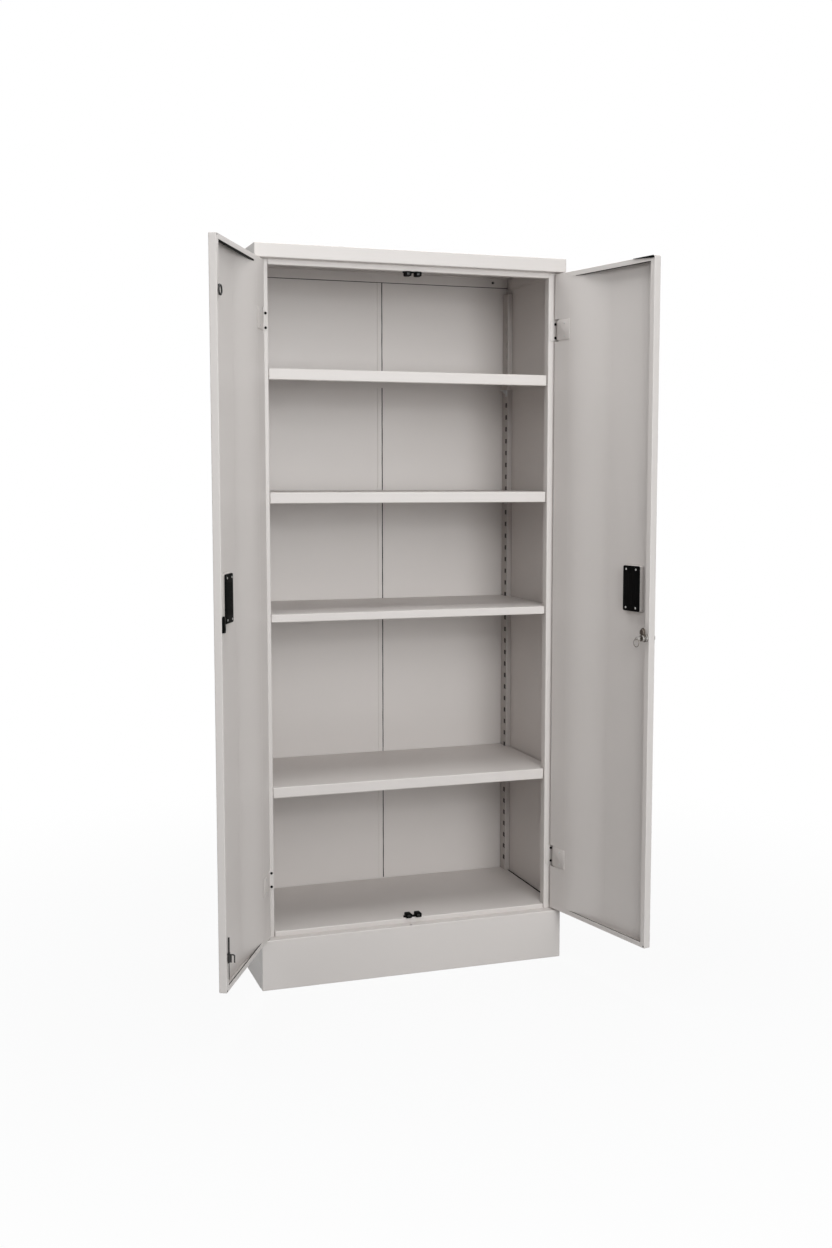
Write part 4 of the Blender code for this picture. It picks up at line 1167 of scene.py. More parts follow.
    def back_rivets(self, probe: Probe) -> None:
        """Add the blind rivets that hold the back sheets to the folds of the walls, their heads inside."""
        count = int(self.height / self.back_rivet_pitch)
        for side, node in ((-1, "back_panel_left"), (1, "back_panel_right")):
            starts = [(side * (self.half_width - self.back_rivet_inset), 0.30, self.back_rivet_pitch * (i + 0.5) + 0.05)
                      for i in range(count)]
            BlindRivets().apply(f"back_rivets_{'left' if side < 0 else 'right'}",
                                probe.spots(node, starts, (0.0, 1.0, 0.0)), Coat.ZINC, "case")

    def weld_spots(self, probe: Probe) -> None:
        """Add the painted weld spots of the plinth."""
        points = []
        for side, node in ((-1, "side_panel_left"), (1, "side_panel_right")):
            points += probe.spots(node, [(side * 0.6, 0.030, level) for level in (0.030, 0.065, 0.100)],
                                  (-side, 0.0, 0.0))
        SpotWelds().apply("weld_spots", points, Coat.PAINT, "case")


@dataclass
class Catch:
    """A double catch: a base strip, two hollow heads, their steel plates and a screw."""

    label: str
    level: float
    up: int
    spacing: float = 0.026
    base: tuple[float, float] = (0.046, 0.0020)
    depth: tuple[float, float] = (0.0180, 0.0300)
    head: tuple[float, float] = (0.0150, 0.0095)
    face: float = 0.0073
    wall: float = 0.0026

    def build(self) -> None:
        """Make the catch in place of its CAD node."""
        near, far = self.depth
        long, thick = self.base
        up = self.up
        zs = sorted((self.level, self.level + up * thick))
        strip = soften(moved(prism(rounded_rectangle(long, far - near, 0.003), zs[0], zs[1], "Z", 0.0),
                             Matrix.Translation((0.0, (near + far) / 2, 0.0))), 0.0004)
        screw_seat = moved(turned([(0.0036, 0.0), (0.0033, 0.0006), (0.0024, 0.0008)], 24), Matrix.Identity(4))
        screw_seat = moved(screw_seat, Matrix.Rotation(math.pi / 2 * up, 4, "X"))
        seat_place = Vector((0.0, (near + far) / 2, self.level + up * (thick - 0.0001)))
        parts = [strip, moved(screw_seat, Matrix.Translation(seat_place))]
        plates = []
        for side in (-1, 1):
            parts.append(self.build_head(side * self.spacing / 2))
            plates += self.pole_plates(side * self.spacing / 2)
        piece = solid(f"{self.label}_moulding", joined(parts), Coat.PLASTIC, "case")
        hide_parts(self.label)
        solid(f"{self.label}_pole_plates", joined(plates), Coat.BLACK_STEEL, "case")
        top = seat_place + Vector((0.0, 0.0, up * 0.0007))
        CrossScrews().apply(f"{self.label}_screw", [(top, Vector((0.0, 0.0, float(up))))], Coat.BLACK_STEEL, "case",
                            Radius=0.0026, Rim=0.0006, Crown=0.0009, Recess=0.0014)

    def build_head(self, centre: float) -> bmesh.types.BMesh:
        """Return one hollow head.

        Args:
            centre: Its middle along X.

        Returns:
            The closed mesh.
        """
        width, height = self.head
        thick = self.base[1]
        end = self.depth[1] - thick
        low = self.level + self.up * 0.0004
        high = self.level + self.up * (thick + height)
        middle = (low + high) / 2
        tall = abs(high - low)
        outline = [(centre + x, middle + z) for x, z in rounded_rectangle(width, tall, 0.0026)]
        body = prism(outline, self.face, end, "Y", 0.0006)
        inside = [(centre + x, middle - self.up * 0.0002 + z)
                  for x, z in rounded_rectangle(width - self.wall * 2, tall - self.wall * 1.7, 0.0014)]
        return carved(body, [prism(inside, self.face - 0.004, end - self.wall, "Y", 0.0)])

    def pole_plates(self, centre: float) -> list[bmesh.types.BMesh]:
        """Return the two blackened plates inside one head and the magnet between them.

        Args:
            centre: The head's middle along X.

        Returns:
            Closed meshes.
        """
        height = self.head[1] + self.base[1]
        middle = self.level + self.up * (height / 2 - 0.0001)
        half = height / 2 - self.wall * 0.86
        plates = []
        for offset in (-0.0028, 0.0028):
            x = centre + offset
            plates.append(box((x - 0.0006, self.face + 0.0010, middle - half), (x + 0.0006, 0.0262, middle + half), 0.0002))
        plates.append(box((centre - 0.0021, self.face + 0.0030, middle - half), (centre + 0.0021, 0.0262, middle + half)))
        return plates


@dataclass
class Door:
    """One door: its frame of reference and what both doors carry."""

    side: int
    open_degrees: float
    hinge_x: float = 0.387
    axis_depth: float = 0.009
    centre_gap: float = 0.003
    thickness: float = 0.018
    bottom: float = 0.132
    top: float = 1.778
    hinge_levels: tuple[tuple[str, float], ...] = (("upper", 1.637), ("lower", 0.273))
    end_lip: float = 0.012
    free_lip: float = 0.015
    hinge_lip_start: float = 0.065
    hinge_overhang: float = 0.010
    flank_reach: float = 0.150
    flank_steps: int = 20
    # Sizes of the dark strips painted as shadow under the lips.
    shadow_drops: tuple[float, float] = (0.0042, 0.0012)
    free_shadow_spans: tuple[tuple[tuple[float, float], ...], ...] = (
        ((0.146, 0.212),), ((0.146, 0.872), (0.904, 1.764)))

    @property
    def label(self) -> str:
        """Return the side's name."""
        return "right" if self.side > 0 else "left"

    @property
    def body(self) -> str:
        """Return the CAD body that carries the door's pieces."""
        return f"{self.label}_door"

    @property
    def frame(self) -> Matrix:
        """Return the matrix from the closed door's hinge frame to the stored opening."""
        turn = Matrix.Rotation(math.radians(self.side * self.open_degrees), 4, "Z")
        return Matrix.Translation((self.side * self.hinge_x, self.axis_depth - ORIGIN_SHIFT, 0.0)) @ turn

    def local(self, from_free: float, depth: float, level: float = 0.0) -> Vector:
        """Return a point of the hinge frame.

        Args:
            from_free: Distance from the free edge.
            depth: Distance behind the skin.
            level: Height.

        Returns:
            The point.
        """
        free_edge = -self.side * (self.hinge_x - self.centre_gap / 2)
        return Vector((free_edge + self.side * from_free, depth - self.axis_depth, level))

    def spot(self, x: float, y: float, z: float, way: Point = (0.0, 1.0, 0.0)) -> tuple[Vector, Vector]:
        """Return a fastener's place and direction.

        Args:
            x: Place along the closed door.
            y: Depth in the hinge frame.
            z: Height.
            way: Outward direction in the hinge frame.

        Returns:
            Place and direction in the world.
        """
        return self.frame @ Vector((x, y, z)), self.frame.to_3x3() @ Vector(way)

    def piece(self, name: str, body: bmesh.types.BMesh, coat: Coat, *replaced: str,
              smooth: float = 40.0) -> bpy.types.Object:
        """Add a piece given in the hinge frame.

        Args:
            name: The piece's name.
            body: Its mesh.
            coat: The finish.
            replaced: CAD nodes that it stands for.
            smooth: Angle in degrees below which edges are smoothed.

        Returns:
            The piece.
        """
        item = solid(name, body, coat, self.body, self.frame, smooth)
        if replaced:
            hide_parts(*replaced)
        return item

    def build(self) -> None:
        """Add the pull, the hinges, the hinge flank, and the dark dots and strips painted as shade on the tray."""
        Pull(self).build()
        for name, level in self.hinge_levels:
            Hinge(self, name, level).build()
        self.build_corner_shade_dots()
        self.build_lip_shadow_strips()
        self.build_hinge_flank()

    def build_corner_shade_dots(self) -> None:
        """Add small black domes at the free corners of the lip: painted shade for the dark spots in those corners."""
        depth = self.thickness - self.axis_depth
        inset = 0.0042
        points = []
        for level in (self.top - inset, self.bottom + inset):
            place = self.local(inset, 0.0)
            points.append(self.spot(place.x, depth, level))
        DomeRivets().apply(f"door_{self.label}_corner_shade_dots", points, Coat.PLASTIC, self.body,
                           Radius=0.0017, Flange=0.0003, Crown=0.0004)

    def build_lip_shadow_strips(self) -> None:
        """Add the dark strips under the inner edges of the end lips and the free lip: painted shadow cast by the lips.
        """
        face = self.thickness - self.axis_depth
        near = self.local(self.free_lip - 0.0006, 0.0).x
        far = -self.side * (self.hinge_lip_start - self.hinge_overhang)
        parts = []
        top_drop = self.shadow_drops[self.side > 0]
        for end, way, drop, deep in ((self.top, -1, top_drop, 0.0052), (self.bottom, 1, 0.0006, 0.0030)):
            xs = sorted((near, far))
            zs = sorted((end + way * (self.end_lip - 0.0006), end + way * (self.end_lip + drop)))
            parts.append(box((xs[0], face - deep, zs[0]), (xs[1], face - 0.0011, zs[1]), 0.0003))
        xs = sorted((near, near + self.side * 0.0014))
        for low, high in self.free_shadow_spans[self.side > 0]:
            parts.append(box((xs[0], face - 0.0046, low), (xs[1], face - 0.0011, high), 0.0003))
        self.piece(f"door_{self.label}_lip_shadow_strips", joined(parts), Coat.PLASTIC)

    def build_hinge_flank(self) -> None:
        """Add the painted web that curves from the hinge lip's edge down to the skin."""
        start = self.hinge_lip_start
        reach = self.flank_reach
        skin = 0.0011 - self.axis_depth
        lip = self.thickness - self.axis_depth
        shares = [number / self.flank_steps for number in range(self.flank_steps + 1)]
        drop = lip - skin - 0.0002
        profile = [(start + reach * share, lip - 0.0001 - drop * share * share * (3.0 - 2.0 * share))
                   for share in shares]
        profile += [(place, max(skin, depth - 0.0007)) for place, depth in reversed(profile)]
        outline = [(-self.side * (place - self.hinge_overhang), depth) for place, depth in profile]
        self.piece(f"door_{self.label}_hinge_flank",
                   prism(outline, self.bottom + 0.0015, self.top - 0.0015, "Z", 0.0), Coat.PAINT)


@dataclass
class Pull:
    """A recessed pull: bezel, tub, grip strip, ribbed inner plate and four rivets."""

    door: Door
    level: float = 1.001
    from_free: float = 0.075
    plate: tuple[float, float] = (0.062, 0.109)
    bezel: tuple[float, float] = (0.074, 0.124)
    tub_depth: float = 0.015
    wall: float = 0.002
    proud: float = 0.0015
    rivet_place: tuple[float, float] = (0.0185, 0.0462)
    rib_count: int = 7
    rib_pitch: float = 0.0068

    def build(self) -> None:
        """Make the pull in place of its CAD node."""
        door = self.door
        middle = door.local(self.from_free, 0.0, self.level)
        parts = [self.shell(middle)]
        parts += self.ribs(middle)
        parts += self.grip(middle)
        name = f"handle_cup_{door.label}"
        door.piece(f"pull_{door.label}", joined(parts), Coat.PLASTIC, name, smooth=35.0)
        # The sleeve takes the darker copy of the paint: painted shade.
        door.piece(f"pull_{door.label}_surround", self.surround(middle), Coat.THIN, smooth=35.0)
        across, up = self.rivet_place
        back = -door.axis_depth + self.tub_depth
        points = [door.spot(middle.x + sx * across, back + 0.0004, self.level + sz * up)
                  for sx in (-1, 1) for sz in (-1, 1)]
        DomeRivets().apply(f"pull_{door.label}_rivets", points, Coat.ZINC, door.body, Radius=0.0027, Crown=0.0010)

    def shell(self, middle: Vector) -> bmesh.types.BMesh:
        """Return the bezel, tub and inner plate as one skin.

        Args:
            middle: The pull's middle in the hinge frame.

        Returns:
            The closed mesh.
        """
        skin = -self.door.axis_depth
        front = skin - self.proud - 0.0003
        floor = skin + self.tub_depth - self.wall
        back = skin + self.tub_depth
        wide, tall = self.plate
        out_wide, out_tall = self.bezel
        wall = self.wall
        sections = [
            (wide - wall * 4, tall - wall * 4, 0.0020, floor),
            (wide - wall * 2.6, tall - wall * 2.6, 0.0030, floor - 0.0006),
            (wide - wall * 2, tall - wall * 2, 0.0036, floor - 0.0024),
            (wide - wall * 2, tall - wall * 2, 0.0040, skin + 0.0004),
            (wide - wall * 1.4, tall - wall * 1.4, 0.0048, front + 0.0004),
            (wide - wall * 0.8, tall - wall * 0.8, 0.0054, front),
            (out_wide - 0.0036, out_tall - 0.0036, 0.0075, front),
            (out_wide - 0.0012, out_tall - 0.0012, 0.0086, front + 0.0004),
            (out_wide, out_tall, 0.0090, front + 0.0011),
            (out_wide, out_tall, 0.0090, skin - 0.0003),
            (wide, tall, 0.0036, skin - 0.0003),
            (wide, tall, 0.0036, back - 0.0014),
            (wide - 0.0008, tall - 0.0008, 0.0036, back - 0.0004),
            (wide - 0.0026, tall - 0.0026, 0.0032, back),
            (wide - 0.0120, tall - 0.0120, 0.0028, back + 0.0005),
            (wide - 0.0280, tall - 0.0240, 0.0024, back + 0.0010),
            (wide - 0.0480, tall - 0.0400, 0.0020, back + 0.0013)]
        rings = []
        for width, height, corner, depth in sections:
            outline = rounded_rectangle(width, height, corner, 5)
            rings.append([Vector((middle.x + a, depth, middle.z + b)) for a, b in outline])
        return loft(rings)

    def surround(self, middle: Vector) -> bmesh.types.BMesh:
        """Return the sleeve that stands round the tub inside the door, in the darker copy of the paint: painted shade
        that keeps its lit side at the door's tone.

        Args:
            middle: The pull's middle in the hinge frame.

        Returns:
            The closed mesh.
        """
        skin = -self.door.axis_depth
        low = skin + 0.0011
        high = skin + self.tub_depth - 0.0026
        wide, tall = self.plate
        sections = [(0.0002, low), (0.0002, high), (0.0010, high + 0.0002), (0.0016, high - 0.0002),
                    (0.0016, low + 0.0030), (0.0028, low + 0.0011), (0.0060, low + 0.0008), (0.0060, low)]
        rings = []
        for grow, depth in sections:
            outline = rounded_rectangle(wide + grow, tall + grow, 0.0036 + grow / 2, 5)
            rings.append([Vector((middle.x + a, depth, middle.z + b)) for a, b in outline])
        return loft(rings, closed=True)

    def ribs(self, middle: Vector) -> list[bmesh.types.BMesh]:
        """Return the upright ribs of the inner plate.

        Args:
            middle: The pull's middle in the hinge frame.

        Returns:
            Closed meshes.
        """
        back = -self.door.axis_depth + self.tub_depth
        made = []
        for number in range(self.rib_count):
            offset = (number - (self.rib_count - 1) / 2) * self.rib_pitch
            rise = 0.0013 * (1.0 - (offset / (self.plate[0] / 2)) ** 2)
            x = middle.x + offset
            path = [Vector((x, back + rise - 0.0007, middle.z + z)) for z in (-0.037, -0.020, 0.0, 0.020, 0.037)]
            made.append(tube(path, 0.0012, 10, taper=0.4))
        return made

    def grip(self, middle: Vector) -> list[bmesh.types.BMesh]:
        """Return the strip behind which the fingers hook, with its ridges.

        Args:
            middle: The pull's middle in the hinge frame.

        Returns:
            Closed meshes.
        """
        side = self.door.side
        skin = -self.door.axis_depth
        inner = self.plate[0] / 2 - self.wall
        tall = self.plate[1] / 2 - self.wall
        start = middle.x - side * (inner + 0.0004)
        end = start + side * 0.0122
        xs = sorted((start, end))
        made = [box((xs[0], skin - 0.0009, middle.z - tall - 0.0003), (xs[1], skin + 0.0017, middle.z + tall + 0.0003), 0.0006)]
        for number in range(3):
            x = start + side * (0.0040 + 0.0030 * number)
            path = [Vector((x, skin + 0.0016, middle.z + z * tall)) for z in (-0.86, -0.4, 0.0, 0.4, 0.86)]
            made.append(tube(path, 0.0006, 8))
        return made


@dataclass
class Hinge:
    """A hinge: the post's leaf and pin, the door's leaf with its rolled knuckle, and rivets."""

    door: Door
    name: str
    level: float
    height: float = 0.050
    knuckle: float = 0.0040
    pin: float = 0.0020
    sheet: float = 0.0014
    reach: float = 0.052
    plate_width: float = 0.022
    arm_offset: float = 0.0020
    recess: float = 0.025
    rivet_rise: float = 0.016
    rivet_reach: float = 0.035
    post_rivet_rise: float = 0.0172
    post_rivet_shifts: tuple[float, float] = (0.0085, -0.0035)

    def build(self) -> None:
        """Make both leaves in place of their CAD nodes."""
        self.frame_leaf()
        self.door_leaf()

    def barrel(self, low: float, high: float, bore: float = 0.0) -> bmesh.types.BMesh:
        """Return one knuckle about the hinge frame's axis.

        Args:
            low: Its lower end.
            high: Its upper end.
            bore: Radius of its bore, or zero for none.

        Returns:
            The closed mesh.
        """
        radius = self.knuckle
        ease = 0.0005
        profile = [(radius - ease, 0.0), (radius, ease), (radius, high - low - ease), (radius - ease, high - low)]
        if bore:
            profile = [(bore, 0.0)] + profile + [(bore, high - low)]
        body = turned(profile, 28, hollow=bool(bore))
        return moved(body, Matrix.Translation((0.0, 0.0, low)) @ Matrix.Rotation(math.pi / 2, 4, "X"))

    def frame_leaf(self) -> None:
        """Make the post's leaf with two knuckles, the pin and its heads."""
        door = self.door
        side = door.side
        third = self.height / 3
        low, high = self.level - self.height / 2, self.level + self.height / 2
        face = self.recess - 0.0003 - ORIGIN_SHIFT
        near = face - self.sheet
        axis = Vector((side * door.hinge_x, door.axis_depth - ORIGIN_SHIFT, 0.0))
        arm_out = axis.x + side * self.arm_offset
        middle = arm_out - side * self.plate_width / 2
        outline = [(middle + a, self.level + b)
                   for a, b in rounded_rectangle(self.plate_width, self.height, 0.0022)]
        parts = [prism(outline, near, face, "Y", 0.0003)]
        for start, end in ((low, low + third - 0.0005), (high - third + 0.0005, high)):
            xs = sorted((arm_out, arm_out - side * self.sheet))
            parts.append(box((xs[0], axis.y, start), (xs[1], near + self.sheet / 2, end), 0.0002))
            parts.append(moved(self.barrel(start, end), Matrix.Translation(axis)))
        pin = turned([(self.pin * 0.8, 0.0), (self.pin, 0.0004), (self.pin, self.height - 0.0024),
                      (self.pin * 0.8, self.height - 0.0020)], 20)
        parts.append(moved(pin, Matrix.Translation(axis + Vector((0.0, 0.0, low + 0.0010))) @ Matrix.Rotation(
            math.pi / 2, 4, "X")))
        for end, up in ((low, -1), (high, 1)):
            head = turned([(0.0027, 0.0), (0.0027, 0.0005), (0.0021, 0.0011), (0.0010, 0.0014)], 20)
            turn = Matrix.Rotation(math.pi / 2 * up, 4, "X")
            parts.append(moved(head, Matrix.Translation(axis + Vector((0.0, 0.0, end - up * 0.0001))) @ turn))
        label = f"hinge_{door.label}_{self.name}"
        piece = solid(f"{label}_post_leaf", joined(parts), Coat.HINGE, "case")
        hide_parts(f"{label}_frame_leaf")
        across = middle - side * self.post_rivet_shifts[side > 0]
        points = [(Vector((across, near, self.level + rise)), Vector((0.0, -1.0, 0.0)))
                  for rise in (-self.post_rivet_rise, self.post_rivet_rise)]
        DomeRivets().apply(f"{label}_post_rivets", points, Coat.PLASTIC, "case", Radius=0.0034, Crown=0.0012)

    def door_leaf(self) -> None:
        """Make the door's leaf: plate, web and the middle knuckle."""
        door = self.door
        side = door.side
        third = self.height / 3
        low, high = self.level - self.height / 2 + third, self.level + self.height / 2 - third
        plate_low = door.thickness - door.axis_depth + 0.0003
        plate_high = plate_low + self.sheet
        web_in = -side * (self.knuckle + self.sheet)
        end = -side * (self.knuckle + self.reach)
        start = web_in + side * self.sheet
        outline = [((start + end) / 2 + a, self.level + b)
                   for a, b in rounded_rectangle(abs(end - start), self.height, 0.0026)]
        parts = [prism(outline, plate_low, plate_high, "Y", 0.0003)]
        xs = sorted((web_in, start))
        parts.append(box((xs[0], -self.sheet / 2, low), (xs[1], plate_high - 0.0002, high), 0.0002))
        xs = sorted((web_in + side * 0.0002, -side * (self.knuckle - self.sheet)))
        parts.append(box((xs[0], -self.sheet / 2, low), (xs[1], self.sheet / 2, high), 0.0002))
        parts.append(self.barrel(low, high, self.pin + 0.0003))
        label = f"hinge_{door.label}_{self.name}"
        door.piece(f"{label}_leaf", joined(parts), Coat.HINGE, f"{label}_door_leaf")
        points = [door.spot(-side * self.rivet_reach, plate_high, self.level + rise)
                  for rise in (-self.rivet_rise, self.rivet_rise)]
        BlindRivets().apply(f"{label}_rivets", points, Coat.ZINC, door.body, Radius=0.0024, Bore=0.0008)


@dataclass
class CamLock:
    """The right door's cam lock: barrel, nut, plug with cam, key and split ring."""

    door: Door
    level: float = 0.888
    from_free: float = 0.0105
    barrel_radius: float = 0.0080
    bezel_radius: float = 0.0096
    nut_radius: float = 0.0102
    nut_depth: float = 0.006
    barrel_reach: float = 0.0262
    plug_radius: float = 0.0055
    cam: tuple[float, float, float] = (0.0245, 0.016, 0.0022)
    pawl: tuple[float, float, float, float] = (0.0042, 0.0095, 0.0215, 0.0136)
    cam_nut: tuple[float, float] = (0.0092, 0.0040)
    key: tuple[float, float, float] = (0.0220, 0.007, 0.0020)
    ring: tuple[float, float] = (0.0095, 0.0010)

    def build(self) -> None:
        """Make the lock in place of its CAD nodes."""
        middle = self.door.local(self.from_free, 0.0, self.level)
        frame = self.door.frame @ Matrix.Translation((middle.x, 0.0, middle.z))
        self.build_barrel(frame)
        cam_high = self.build_cam(frame)
        eye = self.build_key(frame, cam_high)
        self.build_ring(frame, eye)

    def build_barrel(self, frame: Matrix) -> None:
        """Make the bezel, the threaded barrel and its nut."""
        skin = -self.door.axis_depth
        front = skin - 0.0023
        reach = skin + self.barrel_reach
        bore = self.plug_radius + 0.0003
        profile = [(bore, front + 0.0005), (bore + 0.0005, front), (self.bezel_radius - 0.0010, front),
                   (self.bezel_radius, front + 0.0009), (self.bezel_radius, skin - 0.0003),
                   (self.barrel_radius, skin - 0.0003)]
        pitch = 0.0010
        turns = int((self.barrel_reach - 0.0014) / pitch)
        for turn in range(turns):
            base = skin + 0.0002 + pitch * turn
            profile += [(self.barrel_radius, base), (self.barrel_radius - 0.0004, base + pitch / 2)]
        profile += [(self.barrel_radius - 0.0002, reach - 0.0006), (self.barrel_radius - 0.0007, reach), (bore, reach)]
        barrel = turned(profile, 40, hollow=True)
        start = skin + self.door.thickness + 0.0003
        outline = [(self.nut_radius * math.cos(math.pi / 3 * i), self.nut_radius * math.sin(math.pi / 3 * i))
                   for i in range(6)]
        nut = prism(outline, start, start + self.nut_depth, "Y", 0.0009, 3)
        nut = carved(nut, [turned([(self.barrel_radius + 0.0001, start - 0.002),
                                   (self.barrel_radius + 0.0001, start + 0.010)], 32)])
        washer = turned([(self.barrel_radius + 0.0001, start + self.nut_depth), (0.0098, start + self.nut_depth),
                         (0.0098, start + self.nut_depth + 0.0006), (self.barrel_radius + 0.0001, start + self.nut_depth + 0.0008)],
                        36, hollow=True)
        piece = solid("lock_barrel_and_nut", joined([barrel, nut, washer]), Coat.CHROME, self.door.body, frame, 35.0)
        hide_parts("lock_barrel")

    def build_cam(self, frame: Matrix) -> float:
        """Make the plug with its keyway and the cam.

        Args:
            frame: The lock's frame.

        Returns:
            Depth of the cam's far face.
        """
        skin = -self.door.axis_depth
        length, width, thick = self.cam
        low = skin + self.barrel_reach + 0.0006
        high = low + thick
        radius = self.plug_radius
        plug = turned([(radius - 0.0006, skin - 0.0023), (radius, skin - 0.0017), (radius, low + thick / 2)], 32)
        plug = carved(plug, [box((-0.0008, skin - 0.006, -0.0038), (0.0008, skin + 0.002, 0.0038), 0.0)])
        half = width / 2
        steps = 14
        outline = [(half * math.cos(math.pi * i / steps), length - half + half * math.sin(math.pi * i / steps))
                   for i in range(steps + 1)]
        outline += [(self.barrel_radius * math.cos(math.pi + math.pi * i / steps),
                     self.barrel_radius * math.sin(math.pi + math.pi * i / steps)) for i in range(steps + 1)]
        plate = prism(outline, low, high, "Y", 0.0004)
        hexagon = [(radius * math.cos(math.pi / 3 * i), radius * math.sin(math.pi / 3 * i)) for i in range(6)]
        boss = prism(hexagon, high - 0.0004, high + thick, "Y", 0.0004)
        _, key_width, key_thick = self.key
        slot = box((-key_thick / 2 - 0.0002, high, -key_width / 2 - 0.0002),
                   (key_thick / 2 + 0.0002, high + 0.006, key_width / 2 + 0.0002), 0.0)
        rise, foot, top, across = self.pawl
        pawl = [(across / 2, foot), (across / 2, top - 0.004), (across / 2 - 0.004, top),
                (-across / 2 + 0.004, top), (-across / 2, top - 0.004), (-across / 2, foot)]
        block = prism(pawl, high - 0.0003, high + rise, "Y", 0.0009, 3)
        piece = solid("lock_plug_and_cam", joined([plug, plate, block, carved(boss, [slot])]), Coat.CAM,
                      "lock_plug", frame, 35.0)
        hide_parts("lock_cam")
        outer, depth = self.cam_nut
        flats = [(outer * math.cos(math.pi / 3 * i), outer * math.sin(math.pi / 3 * i)) for i in range(6)]
        nut = carved(prism(flats, high + 0.0001, high + depth, "Y", 0.0008, 3),
                     [turned([(radius + 0.0002, high - 0.002), (radius + 0.0002, high + depth + 0.002)], 32)])
        solid("lock_cam_nut", nut, Coat.CHROME, "lock_plug", frame, 35.0)
        return high

    def build_key(self, frame: Matrix, seat: float) -> float:
        """Make the flat key with its eye.

        Args:
            frame: The lock's frame.
            seat: Depth of the face that it stands on.

        Returns:
            Depth of the eye's middle.
        """
        reach, width, thick = self.key
        half = width / 2
        start = seat + 0.0003
        end = start + reach
        steps = 12
        outline = [(start, -half), (start + 0.0060, -half), (start + 0.0070, -half + 0.0006),
                   (start + 0.0080, -half), (end - half, -half)]
        outline += [(end - half + half * math.cos(-math.pi / 2 + math.pi * i / steps),
                     half * math.sin(-math.pi / 2 + math.pi * i / steps)) for i in range(1, steps)]
        outline += [(end - half, half), (start + 0.0080, half), (start + 0.0070, half - 0.0006),
                    (start + 0.0060, half), (start, half)]
        blade = prism(outline, -thick / 2, thick / 2, "X", 0.0003)
        eye = end - half
        drill = moved(turned([(0.0019, -0.006), (0.0019, 0.006)], 24),
                      Matrix.Translation((0.0, eye, 0.0)) @ Matrix.Rotation(math.pi / 2, 4, "Z"))
        piece = solid("key_blade", carved(blade, [drill]), Coat.CHROME, "lock_plug", frame, 35.0)
        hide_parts("lock_key")
        return eye

    def build_ring(self, frame: Matrix, eye: float) -> None:
        """Make the split ring, wound two turns from round wire."""
        radius, wire = self.ring
        middle = Vector((0.0, eye, -(0.0019 - wire - 0.0003) - radius))
        ring = SplitRing().apply("key_split_ring", [(Vector((0.0, 0.0, 0.0)), Vector((0.0, 0.0, 1.0)))], Coat.CAM,
                                 "key_ring", Radius=radius, Wire=wire * 0.75, Rise=wire * 0.50)
        turn = frame @ Matrix.Translation(middle) @ Matrix.Rotation(-math.pi / 2, 4, "X")
        ring.data.transform(turn)
        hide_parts("key_ring")


